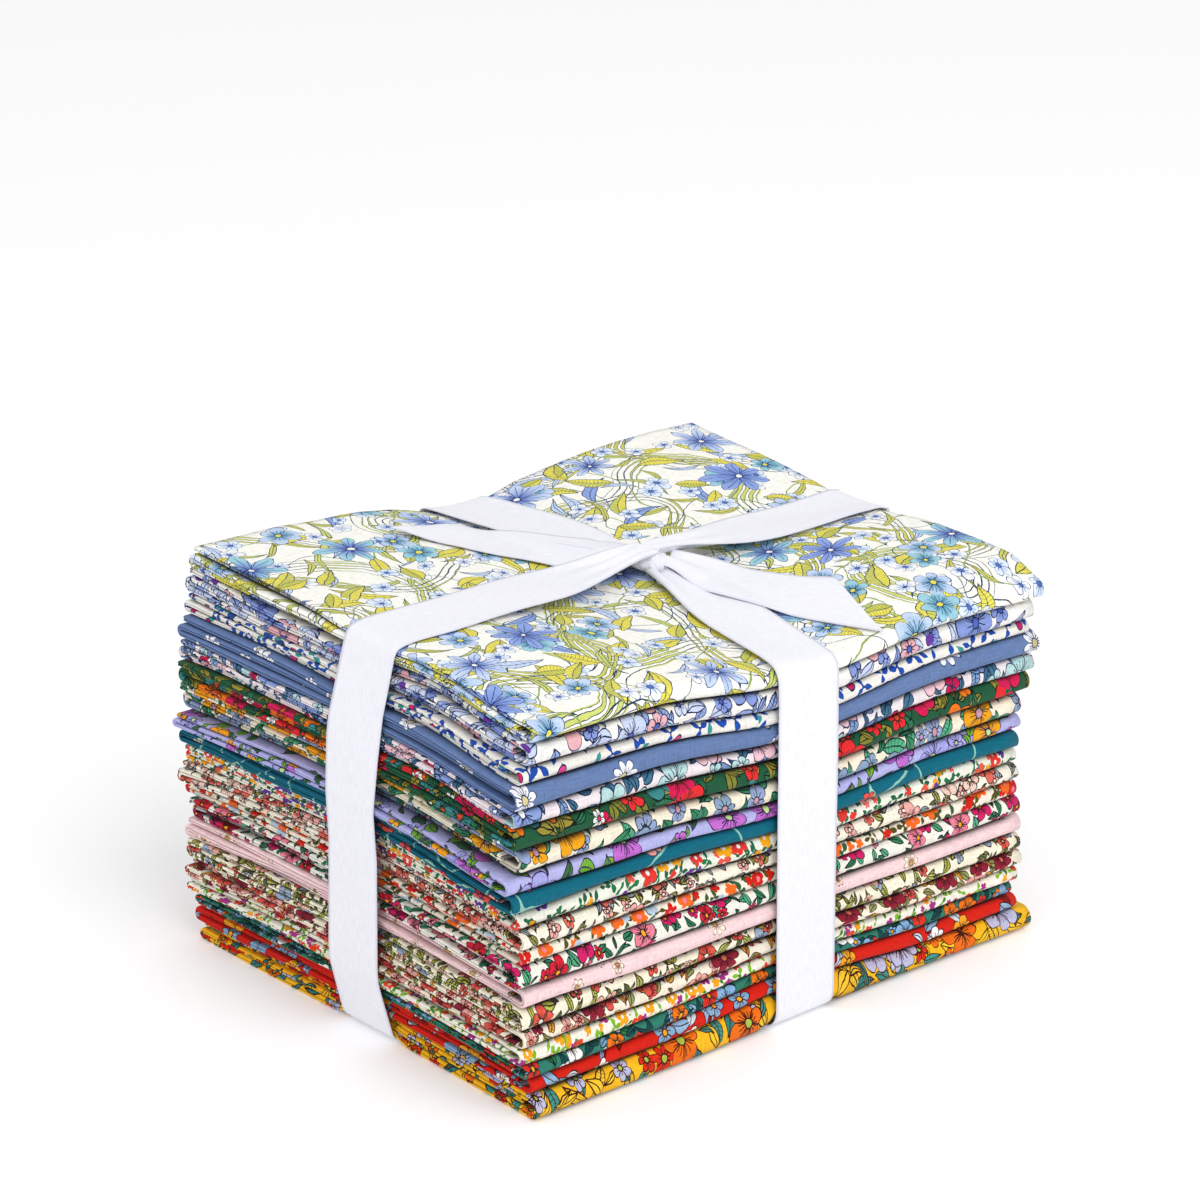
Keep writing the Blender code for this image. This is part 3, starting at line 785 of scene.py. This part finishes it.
def garden(ground: Colour, leaves: tuple, blooms: tuple, ink: Optional[Colour], scale: float, seed: float,
           cover: float = 0.95, petals: int = 5, eye: Optional[Colour] = WHITE, line: float = 0.32 * MM,
           first: tuple = (), last: tuple = ()) -> Print:
    """A closely covered floral: three kinds of leaf below two kinds of blossom.

    Args:
        ground: Colour of the cloth between the motifs.
        leaves: Colours of the leaves.
        blooms: Colours of the blossoms.
        ink: Colour of the outlines, or nothing for a print without them.
        scale: Spacing of the large blossoms in metres.
        cover: Share of the places that carry a motif.
        first: Motifs below the others.
        last: Motifs above the others.
    """
    return Print(ground, (
        *first,
        Leaf(scale * 0.60, leaves, ink, line, cover, seed, 0.65, length=0.54, width=0.17, bend=0.10,
             veins=5.0),
        Leaf(scale * 0.50, leaves[::-1], ink, line, cover, seed + 0.37, 0.65, length=0.50, width=0.20,
             bend=-0.07),
        Leaf(scale * 0.42, leaves, ink, line, cover * 0.7, seed + 0.19, 0.7, length=0.50, width=0.13,
             bend=0.12),
        Bloom(scale * 0.58, blooms[::-1], ink, line, cover * 0.66, seed + 0.61, 0.65, petals=petals,
              size=0.42,
              cut=0.36, eye=eye, eye_size=0.22),
        Bloom(scale, blooms, ink, line, cover * 0.85, seed + 0.83, 0.65, petals=petals, size=0.45, cut=0.34,
              eye=eye, eye_size=0.17, rays=3),
        *last))


def sprigs(ground: Colour, leaves: tuple, blooms: tuple, scale: float, seed: float, cover: float = 1.0,
           eye: Optional[Colour] = WHITE) -> Print:
    """A small scattered floral without outlines: sprigs of three leaves and five-petalled blossoms."""
    return Print(ground, (
        Leaf(scale * 0.78, leaves, None, seed=seed, keep=cover, length=0.21, width=0.12, spray=3,
             stem=leaves[0]),
        Leaf(scale * 0.62, leaves[::-1], None, seed=seed + 0.4, keep=cover, length=0.22, width=0.11, spray=2,
             stem=leaves[0]),
        Bloom(scale * 0.68, blooms[::-1], None, seed=seed + 0.6, keep=cover * 0.7, size=0.34, cut=0.4,
              eye=None),
        Bloom(scale, blooms, None, seed=seed + 0.8, keep=cover * 0.85, size=0.38, cut=0.4, eye=eye,
              eye_size=0.24)))


def daisies(ground: Colour, petal: Colour, ink: Colour, eye: Colour, spacing: float, seed: float) -> Print:
    """Sparse daisies with hand-drawn outlines on a plain ground."""
    return Print(ground, (
        Bloom(spacing * 0.8, (petal,), ink, 0.28 * MM, seed=seed + 0.4, keep=0.35, petals=7, size=0.22,
              cut=0.55,
              eye=eye, eye_size=0.24),
        Bloom(spacing, (petal,), ink, 0.3 * MM, seed=seed, keep=0.6, petals=8, size=0.27, cut=0.55, eye=eye,
              eye_size=0.22)))


PRINTS = (
    Print(IVORY, (
        Stem(0.050, (BLADE,), INK, seed=1.0, width=1.0 * MM, line=0.2 * MM, strands=4, pitch=2.1 * MM),
        Stem(0.042, (LEAF,), INK, seed=9.0, width=0.8 * MM, level=0.53, line=0.2 * MM, strands=3,
             pitch=1.9 * MM),
        Stem(0.034, ("9EB26B",), None, seed=3.0, width=0.5 * MM, level=0.44),
        Stem(0.036, ("3D667A",), None, seed=5.0, width=0.3 * MM, level=0.55),
        Leaf(0.0145, (BLADE, PALE_BLUE, LEAF), INK, 0.24 * MM, seed=2.0, keep=0.75, length=0.50, width=0.075,
             bend=0.14, loose=0.75),
        Leaf(0.0205, (BLADE, LEAF), INK, 0.26 * MM, seed=2.4, keep=0.8, length=0.54, width=0.060, bend=-0.18,
             loose=0.7),
        Leaf(0.0230, (PERIWINKLE, PALE_BLUE, LIME), INK, 0.28 * MM, seed=4.6, keep=0.62, length=0.48,
             width=0.085, bend=0.12, veins=5.0),
        Leaf(0.0185, (LIME, LEAF, LIME), INK, 0.28 * MM, seed=4.0, keep=0.72, length=0.47, width=0.15,
             bend=0.08, shade=LIME, veins=7.0, loose=0.7),
        Bloom(0.0100, (WHITE, "E6F0FA"), "385C99", 0.24 * MM, seed=6.0, keep=0.55, petals=5, size=0.46,
              cut=0.35, inner=PALE_BLUE, eye="577AC2", eye_size=0.18),
        Leaf(0.0160, (LIME,), INK, 0.28 * MM, seed=5.0, keep=0.42, length=0.44, width=0.17, bend=0.05,
             shade="D1D161", veins=6.0),
        Bloom(0.0185, (AQUA, PALE_BLUE), "1A4770", 0.28 * MM, seed=7.0, keep=0.42, petals=6, size=0.42,
              cut=0.45, point=2.0, inner="75B2D1", eye=LIME, eye_size=0.15, rays=3),
        Bloom(0.0330, (PERIWINKLE, PALE_BLUE, AQUA), "243D7A", 0.30 * MM, seed=8.0, keep=0.62, petals=7,
              size=0.40, cut=0.60, point=1.5, inner="8099DB", eye=IVORY, eye_size=0.09, vein=0.85, rays=3),
    )),
    garden("F2F0ED", ("9EB0E0", "CCD6F0"), ("EBB8BF", "8FA1DB", "CCD6ED"), NAVY, 0.0165, 1.5, cover=0.85,
           eye="5970C2", last=(Dot(0.010, (VIOLET,), None, seed=4.5, keep=0.4, size=0.2),)),
    Print("F0EDE6", (
        Leaf(0.0075, ("2457B2",), None, seed=1.2, keep=0.95, length=0.24, width=0.11, spray=3, rib=False,
             stem="33478A"),
        Leaf(0.0086, ("429E9E", "2457B2"), None, seed=2.2, keep=0.8, length=0.22, width=0.10, spray=2,
             rib=False),
        Dot(0.0080, (MAGENTA, "E64C94", "3357A8"), NAVY, seed=3.2, keep=0.6, size=0.22),
    )),
    daisies("7087B2", "F2F2F7", "2E3D66", "D9CC99", 0.021, 1.7),
    garden("F0E6E8", ("4C7A94", "8CA8D1"), ("F0C7CF", "94A8DB", "BDDBDB"), "143357", 0.0155, 2.3,
           last=(Bloom(0.015, ("D61452",), NAVY, seed=3.3, keep=0.4, petals=4, size=0.26, cut=0.35),)),
    garden("246142", (OLIVE, "9E943D", "33805C"), ("E63338", ORANGE, "428F8F", "D61F5C"), "0D1F1A", 0.0165,
           1.8, eye="CC5933", last=(Bloom(0.015, (WHITE,), "142621", 0.28 * MM, seed=3.8, keep=0.35,
           petals=7, size=0.24, cut=0.6, eye="D94073"),)),
    garden("F5EDD9", (MINT, "42946B"), (GREY_BLUE, "9EADD1", GOLD), "1A3838", 0.0175, 2.1, eye="D19EB2"),
    garden("BABAE8", ("80BD33", "427A3D"), ("C775D1", GOLD, "ADADE6"), "3D295C", 0.0165, 1.6, cover=0.72,
           eye="CCE699"),
    Print("057085", (
        Stem(0.022, ("94C7B8",), None, seed=1.9, width=0.6 * MM),
        Leaf(0.0125, ("B8D9B8", "05576B"), None, seed=2.9, keep=0.7, length=0.34, width=0.12, bend=0.08),
        Bloom(0.017, ("F5B2A3", "EB6152"), "332957", 0.3 * MM, seed=3.9, keep=0.55, petals=5, size=0.27,
              cut=0.4, eye="B24059"),
    )),
    sprigs("F0F0E3", (GREEN, "296B4C"), (CORAL, VIOLET, GOLD, "E64038"), 0.0074, 2.4),
    garden("F5F0E0", ("A8AD5C", "ADBFC7"), ("F0B2AD", "E67566", "F2D1C4"), "422E21", 0.0105, 1.25,
           eye=CREAM),
    sprigs("F5EDDE", ("5C571F", "3D663D"), ("F27524", RED, "BDCFE0"), 0.0082, 2.35, eye="F28C9E"),
    garden("F2F0E6", (MINT, "388A61"), (MAGENTA, "ED8CA1", "D6243D"), BLACK, 0.0098, 1.45, cover=0.85,
           eye=GOLD, line=0.28 * MM),
    daisies("F6D9DB", "FAF0E0", "9E6B5C", "D9AD61", 0.0145, 1.55),
    garden("F5F0DB", ("BDC457", "C7CC70", "668047"), ("E66152", "A3B5CC", "F2BDAD"), "473829", 0.0105, 1.65,
           eye=CREAM),
    garden("F5EDDB", ("99A866", "E6AD47"), ("EDB2A8", "E05C52", "99243D"), "5C1424", 0.0105, 1.75, petals=6,
           eye="D97557", line=0.28 * MM),
    sprigs("F5F2E6", ("8ABD2E", "4C8F33"), ("EB4C1F", "AD388F", GOLD), 0.0066, 2.85),
    garden("388575", ("388F57", "8CB8D9", "145757"), (WHITE, "E03824", ORANGE, "8FB8DE"), "0F262E", 0.0105,
           1.95, eye=GOLD, line=0.28 * MM),
    garden("DB2612", ("9EBDDB", "D6DEE6", "A8120F"), (WHITE, "F5AD29", "8FB2D1"), "420A0F", 0.0185, 1.05,
           cover=0.5, eye=GOLD),
    garden("F7C224", ("479E94", "F7CC38", "338F8A"), ("E03314", "C2C2DE", "F07A14"), "4C1C0D", 0.0165, 2.15,
           petals=6, eye="B2C757", line=0.34 * MM),
)


@dataclass(frozen=True)
class Weave:
    """A fine plain weave: raised threads each way, with slight slubs."""
    pitch: float
    strength: float
    depth: float = 0.00006

    def bump(self, graph: Graph, place: Signal) -> Signal:
        """The normal of the woven surface."""
        warp, weft = (graph.maths("SINE", part * (2.0 * math.pi / self.pitch)) for part in graph.parts(place))
        slub = graph.noise(place, 0.25 / self.pitch, 2.0)
        height = warp * weft * 0.5 + slub
        return graph.signal("ShaderNodeBump", None,
                            {"Strength": self.strength, "Distance": self.depth, "Height": height})


def print_material(number: int, look: Print) -> bpy.types.Material:
    """The material of one printed cotton lawn, darkened by painted shade where it lies inside the stack."""
    graph = Graph(f"printed_lawn_{number:02d}")
    place = graph.signal("ShaderNodeUVMap", {"uv_map": "cloth"})
    stray = graph.noise(place, 60.0, 5.0, "Color")
    drawn = graph.vector("MULTIPLY_ADD", graph.vector("SUBTRACT", stray, (0.5, 0.5, 0.5)), (0.0045,) * 3,
                         place)
    colour = look.ground
    for motif in look.motifs:
        colour = motif.paint(graph, drawn, colour)
    warp, weft = (graph.noise(graph.vector("MULTIPLY", place, stretch), 2400.0, 1.0)
                  for stretch in ((1.0, 0.12, 1.0), (0.12, 1.0, 1.0)))
    colour = graph.vector("MULTIPLY", colour, 1.32 - 0.34 * (warp + weft))
    # Painted shade: the colour goes near black deep inside the stack and in the left turn's crease.
    inside = graph.signal("ShaderNodeAttribute", {"attribute_name": "tucked_shade"}, output="Fac")
    colour = graph.blend(inside * 0.85, colour, (0.006, 0.006, 0.01))
    return graph.principled({
        "Base Color": colour, "Roughness": 0.85, "Specular IOR Level": 0.15, "Sheen Weight": 0.04,
        "Sheen Roughness": 0.5, "Normal": Weave(0.36 * MM, 0.6).bump(graph, place)})


def ribbon_material() -> bpy.types.Material:
    """Plain woven white ribbon with a denser edge."""
    graph = Graph("woven_ribbon")
    place = graph.signal("ShaderNodeUVMap", {"uv_map": "cloth"})
    tint = graph.noise(graph.vector("MULTIPLY", place, (0.15, 1.0, 1.0)), 1800.0, 2.0)
    colour = graph.blend(graph.ramp(tint, 0.25, 0.75), "F4F4F9", "ECECF4")
    edge = graph.ramp(abs(graph.parts(place)[1] - 0.011), 0.0100, 0.0103)
    colour = graph.blend(edge * 0.35, colour, "D6D6E8")
    return graph.principled({
        "Base Color": colour, "Roughness": 0.62, "Specular IOR Level": 0.35, "Sheen Weight": 0.1,
        "Normal": Weave(0.42 * MM, 0.6).bump(graph, place)})


@dataclass(frozen=True)
class Tail:
    """A free end: where it leaves the knot, its heading and how far its two edges run."""
    start: tuple
    heading: float
    left_run: float
    right_run: float
    seed: int


@dataclass(frozen=True)
class Wrap:
    """One turn of the knot: its middle, the heading of its axis and its three half sizes."""
    place: tuple
    heading: float
    half: float
    side: float
    up: float
    lift: float
    phase: float


class Axis(Enum):
    """The direction that a band runs in over the top."""
    X = 0
    Y = 1


@dataclass(frozen=True)
class Ribbon:
    """One ribbon round the stack both ways, gathered into a knot with two free ends."""
    stack: Stack
    width: float = 0.022
    wall: float = 0.35 * MM
    knot: tuple = (0.0075, -0.0035)
    gathered: float = 0.0085
    fibres: int = 19
    tails: tuple = (
        Tail((0.0055, 0.0005), math.radians(122.7), 0.0700, 0.0560, 31),
        Tail((0.0100, -0.0080), math.radians(-64.5), 0.0470, 0.0705, 32),
    )
    wraps: tuple = (
        Wrap((0.0050, -0.0040), math.radians(66.0), 4.6 * MM, 4.6 * MM, 2.8 * MM, 4.6 * MM, 0.4),
        Wrap((0.0072, -0.0066), math.radians(8.0), 4.2 * MM, 3.9 * MM, 2.4 * MM, 3.4 * MM, 2.1),
    )

    def centre(self, axis: Axis, along: np.ndarray, up: np.ndarray) -> np.ndarray:
        """Where the middle of a band lies across its run, as the photograph shows it."""
        if axis is Axis.X:
            top = np.interp(along, [-0.095, -0.02, 0.0075, 0.095], [-0.0080, -0.0035, -0.0035, -0.0004])
            left = np.interp(up, [0.003, 0.025, 0.060], [-0.0040, -0.0045, -0.0080])
            right = np.interp(up, [0.003, 0.030, 0.100], [-0.0040, -0.0030, -0.0010])
            side = np.where(along < 0.0, left, right)
        else:
            top = np.interp(along, [-0.077, -0.0035, 0.077], [0.0014, 0.0075, -0.0020])
            front = np.interp(up, [0.003, 0.05, 0.11], [0.0010, 0.0010, 0.0014])
            back = np.interp(up, [0.003, 0.05, 0.11], [0.0010, 0.0002, -0.0018])
            side = np.where(along < 0.0, front, back)
        return side + (top - side) * smooth((up - 0.098) / 0.014)

    def loops(self, axis: Axis, cloth: np.ndarray, clear: float) -> tuple:
        """Taut lines round the stack, one for each fibre of the band.

        Args:
            axis: Which way the band runs.
            cloth: All the cloth points.
            clear: Distance of the ribbon's middle from the cloth.

        Returns:
            Places along and up, as fibres by points.
        """
        run_axis, cross_axis = axis.value, 1 - axis.value
        aside = cloth[:, cross_axis] - self.centre(axis, cloth[:, run_axis], cloth[:, 2])
        angle = np.linspace(-math.pi / 2, 3 * math.pi / 2, 1201)[:-1]
        normal = np.stack([np.cos(angle), np.sin(angle)])
        lines = []
        for offset in np.linspace(-0.5, 0.5, self.fibres) * self.width:
            near = np.abs(aside - offset) < 3.2 * MM
            flat = np.stack([cloth[near, run_axis], np.maximum(cloth[near, 2], self.stack.channel_depth)],
                            axis=1)
            far = (flat @ normal).argmax(axis=0)
            line = flat[far] + clear * normal.T
            line = np.concatenate([line, line[:1]])
            run = np.concatenate([[0.0], np.cumsum(np.hypot(*np.diff(line, axis=0).T))])
            even = np.linspace(0.0, run[-1], 1801)[:-1]
            along, up = (np.interp(even, run, line[:, k]) for k in (0, 1))
            start = even[np.where(up < 0.02, np.abs(along), 1.0).argmin()]
            even = np.mod(start + even[::3], run[-1])
            lines.append(np.stack([np.interp(even, run, line[:, k]) for k in (0, 1)], axis=1))
        lines = np.array(lines)
        for _ in range(6):
            lines[1:-1] = (lines[:-2] + 2.0 * lines[1:-1] + lines[2:]) / 4.0
        return lines

    def band(self, axis: Axis, cloth: np.ndarray, clear: float) -> tuple:
        """One band as a closed grid, narrowed and pleated towards the knot."""
        lines = self.loops(axis, cloth, clear)
        for _ in range(3):
            lines = (np.roll(lines, 1, axis=1) + 2.0 * lines + np.roll(lines, -1, axis=1)) / 4.0
        along, up = lines[..., 0], lines[..., 1]
        offset = np.linspace(-0.5, 0.5, self.fibres)[:, None] * self.width
        on_top = smooth((up - 0.103) / 0.006)
        away = np.abs(along - self.knot[axis.value])
        narrow = 1.0 - (1.0 - self.gathered / self.width) * (1.0 - smooth((away + 0.004) / 0.048)) * on_top
        cross = self.centre(axis, along, up) + offset * narrow
        bunch = smooth((0.040 - away) / 0.036) * on_top
        share = offset / self.width
        sign = np.where(along > self.knot[axis.value], 1.0, -1.0)
        pleat = np.cos(2.0 * math.pi * (2.4 * share + 0.13 * sign)) * 0.5 + 0.5
        up = up + bunch ** 1.4 * (2.2 * MM * pleat + (1.2 * MM if axis is Axis.X else 0.0))
        up = up + 0.25 * MM * Ripple(61 + axis.value, 0.03)(along, cross) * on_top * smooth(away / 0.02)
        plan = (along, cross) if axis is Axis.X else (cross, along)
        lowest = self.stack.surface(CLOTH_COUNT, *plan) + 0.4 * MM
        inside = smooth((HALF_X + 1.0 * MM - np.abs(plan[0])) / MM) * smooth((HALF_Y - np.abs(plan[1])) / MM)
        up = np.where(up > 0.09, np.maximum(up, lowest * inside), up)
        points = np.stack([*plan, up], axis=-1)
        step = np.linalg.norm(np.diff(points[self.fibres // 2], axis=0), axis=1)
        run = np.concatenate([[0.0], np.cumsum(step)])
        flat = np.stack(np.broadcast_arrays(run[None], offset + self.width / 2.0), axis=-1)
        return np.swapaxes(points, 0, 1), np.swapaxes(flat, 0, 1)

    def tail(self, tail: Tail) -> tuple:
        """One free end as an open grid, from the knot down onto the cloth to its slanting cut."""
        forward = np.array([math.cos(tail.heading), math.sin(tail.heading)])
        aside = np.array([-forward[1], forward[0]])
        share = np.linspace(0.0, 1.0, 90)[:, None]
        offset = np.linspace(0.5, -0.5, self.fibres)[None]
        run = tail.right_run + (tail.left_run - tail.right_run) * (offset + 0.5)
        away = share * run
        spread = 0.42 + 0.58 * smooth(away / 0.018)
        place = offset * spread * self.width
        x = tail.start[0] + away * forward[0] + place * aside[0]
        y = tail.start[1] + away * forward[1] + place * aside[1]
        ground = self.stack.surface(CLOTH_COUNT, x, y)
        distance = np.minimum(np.abs(x - self.stack.band_y_x - 0.002), np.abs(y - self.stack.band_x_y))
        over = 1.1 * MM * smooth((0.0165 - distance) / 0.006)
        from_knot = 3.6 * MM * smooth(1.0 - away / 0.022)
        pleat = 1.5 * MM * (0.5 + 0.5 * np.cos(2.0 * math.pi * (1.7 * offset + 0.2))) * smooth(1.0 - away / 0.020)
        wave = 0.35 * MM * (1.0 + Ripple(tail.seed, 0.03)(x, y) * 0.6) * smooth(away / 0.02)
        curl = 0.9 * MM * smooth((away / run - 0.75) / 0.25) * (offset + 0.5)
        z = ground + 0.35 * MM + np.maximum(over, from_knot) + pleat + wave + curl
        flat = np.stack(np.broadcast_arrays(away, offset * self.width + self.width / 2.0), axis=-1)
        return np.stack([x, y, z], axis=-1), flat

    def wrap(self, wrap: Wrap) -> tuple:
        """One turn of the knot: a pleated strap that goes round the gathered bands."""
        turn = np.linspace(0.0, 2.0 * math.pi, 81)[:-1][:, None]
        share = np.linspace(-1.0, 1.0, 33)[None]
        fullness = np.sqrt(np.clip(1.0 - share ** 2, 0.0, 1.0)) ** 0.8 + 0.02
        pleat = np.cos(math.pi * 6.4 * share + 1.4 * np.sin(turn + wrap.phase))
        ridge = 1.0 + 0.09 * pleat + 0.04 * np.sin(2.0 * turn + 2.0 * share + wrap.phase)
        along = wrap.half * (share + 0.18 * np.sin(turn + wrap.phase))
        side = wrap.side * fullness * ridge * np.cos(turn)
        up = wrap.up * fullness * ridge * np.sin(turn)
        x = wrap.place[0] + along * math.cos(wrap.heading) - side * math.sin(wrap.heading)
        y = wrap.place[1] + along * math.sin(wrap.heading) + side * math.cos(wrap.heading)
        base = float(self.stack.surface(CLOTH_COUNT, np.array(self.knot[0]), np.array(self.knot[1])))
        flat = np.stack(np.broadcast_arrays(turn * 0.006, (share + 1.0) * 0.011), axis=-1)
        return np.stack(np.broadcast_arrays(x, y, base + wrap.lift + up), axis=-1), flat

    def build(self, cloth: np.ndarray, material: bpy.types.Material) -> bpy.types.Object:
        """The whole tied ribbon as one piece."""
        parts = [(*self.band(Axis.X, cloth, 0.8 * MM), True), (*self.band(Axis.Y, cloth, 1.25 * MM), True)]
        parts += [(*self.tail(tail), False) for tail in self.tails]
        parts += [(*self.wrap(wrap), True) for wrap in self.wraps]
        points, flats, faces, start = [], [], [], 0
        for grid, flat, ring in parts:
            rows, columns = grid.shape[:2]
            faces.append(grid_faces(rows, columns, start, ring))
            points.append(grid.reshape(-1, 3))
            flats.append(flat.reshape(-1, 2))
            start += rows * columns
        return build_mesh("ribbon_tied", np.concatenate(points), np.concatenate(faces), np.concatenate(flats),
                          self.wall, material)


@dataclass(frozen=True)
class Studio:
    """The pale floor, the soft light and the camera at the photograph's angle."""
    azimuth: float = math.radians(-40.282)
    elevation: float = math.radians(22.3974)
    distance: float = 1.5
    focus: tuple = (0.0, 0.0, 0.05)
    lens: float = 36.0 * 5194.811 / 1200.0
    aside: float = -0.0061
    raised: float = 0.0499

    def camera(self) -> None:
        """Set the camera: level, looking along the photograph's line of sight."""
        back = Vector((math.sin(self.azimuth) * math.cos(self.elevation),
                       -math.cos(self.azimuth) * math.cos(self.elevation), math.sin(self.elevation)))
        right = (-back).cross(Vector((0.0, 0.0, 1.0))).normalized()
        up = right.cross(-back)
        place = Vector(self.focus) + back * self.distance + right * self.aside + up * self.raised
        data = bpy.data.cameras.new("view")
        data.lens = self.lens
        data.sensor_width = 36.0
        camera = bpy.data.objects.new("view", data)
        turn = Matrix((right, up, back)).transposed().to_4x4()
        camera.matrix_world = Matrix.Translation(place + Vector(DRAWN_SHIFT)) @ turn
        bpy.context.scene.collection.objects.link(camera)
        bpy.context.scene.camera = camera

    def floor(self) -> None:
        """A plain pale floor."""
        mesh = bpy.data.meshes.new("floor")
        size = 3.0
        mesh.from_pydata([(-size, -size, 0.0), (size, -size, 0.0), (size, size, 0.0), (-size, size, 0.0)], [],
                         [(0, 1, 2, 3)])
        mesh.materials.append(Graph("pale_floor").principled({
            "Base Color": (0.90, 0.90, 0.91), "Roughness": 0.9, "Specular IOR Level": 0.1,
            "Emission Color": (1.0, 1.0, 1.0), "Emission Strength": 0.16}))
        floor = bpy.data.objects.new("floor", mesh)
        bpy.context.scene.collection.objects.link(floor)
        floor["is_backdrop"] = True

    def light(self, name: str, place: tuple, size: float, power: float, colour: Colour) -> None:
        """One square soft light that faces the bundle."""
        data = bpy.data.lights.new(name, "AREA")
        data.size = size
        data.energy = power
        data.color = colour
        lamp = bpy.data.objects.new(name, data)
        lamp.location = place
        lamp.rotation_euler = (Vector((0.0, 0.0, 0.06)) - Vector(place)).to_track_quat("-Z", "Y").to_euler()
        bpy.context.scene.collection.objects.link(lamp)

    def build(self) -> None:
        """Set up the floor, the world, the lights and the camera."""
        self.camera()
        self.floor()
        world = bpy.data.worlds.new("studio")
        world.use_nodes = True
        background = world.node_tree.nodes["Background"]
        background.inputs[0].default_value = (1.0, 1.0, 1.0, 1.0)
        background.inputs[1].default_value = 0.75
        bpy.context.scene.world = world
        self.light("key", (-0.2, -1.1, 1.5), 1.2, 14.0, (1.0, 1.0, 1.0))
        self.light("fill", (-1.4, -0.2, 0.8), 1.2, 2.2, (0.97, 0.98, 1.0))
        bpy.context.scene.view_settings.view_transform = "Standard"


def box_report(stage: str, bounds: tuple) -> list:
    """The lowest and highest corner as plain lists."""
    low, high = bounds
    LOG.info("%s box %s to %s", stage, [round(v, 4) for v in low], [round(v, 4) for v in high])
    return [list(map(float, low)), list(map(float, high))]


def main() -> None:
    """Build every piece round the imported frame."""
    logging.basicConfig(level=logging.INFO, format="%(message)s")
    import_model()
    before = box_report("CAD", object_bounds())
    Studio().build()
    stack = Stack()
    cloth_points = []
    for index in reversed(range(CLOTH_COUNT)):
        cloth = FoldedCloth(stack, index, detail=2 if index == 0 else 1)
        points, flat, tucked_shade = cloth.grid()
        rows, columns = points.shape[:2]
        cloth_points.append(points.reshape(-1, 3))
        piece = build_mesh(f"cloth_{index + 1:02d}", points.reshape(-1, 3), grid_faces(rows, columns),
                           flat.reshape(-1, 2), cloth.thickness, print_material(index + 1, PRINTS[index]), tucked_shade)
        node = f"fat_quarter_{index + 1:02d}"
        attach(piece, "root")
        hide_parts(node)
        LOG.info("%s: %d by %d points, %d triangles", piece.name, rows, columns, 4 * (rows - 1) * (columns - 1))
    ribbon = Ribbon(stack).build(np.concatenate(cloth_points), ribbon_material())
    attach(ribbon, "root")
    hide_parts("ribbon")
    LOG.info("%s: %d triangles", ribbon.name, 4 * len(ribbon.data.polygons))
    after = box_report("visual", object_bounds())


if __name__ == "__main__":
    main()
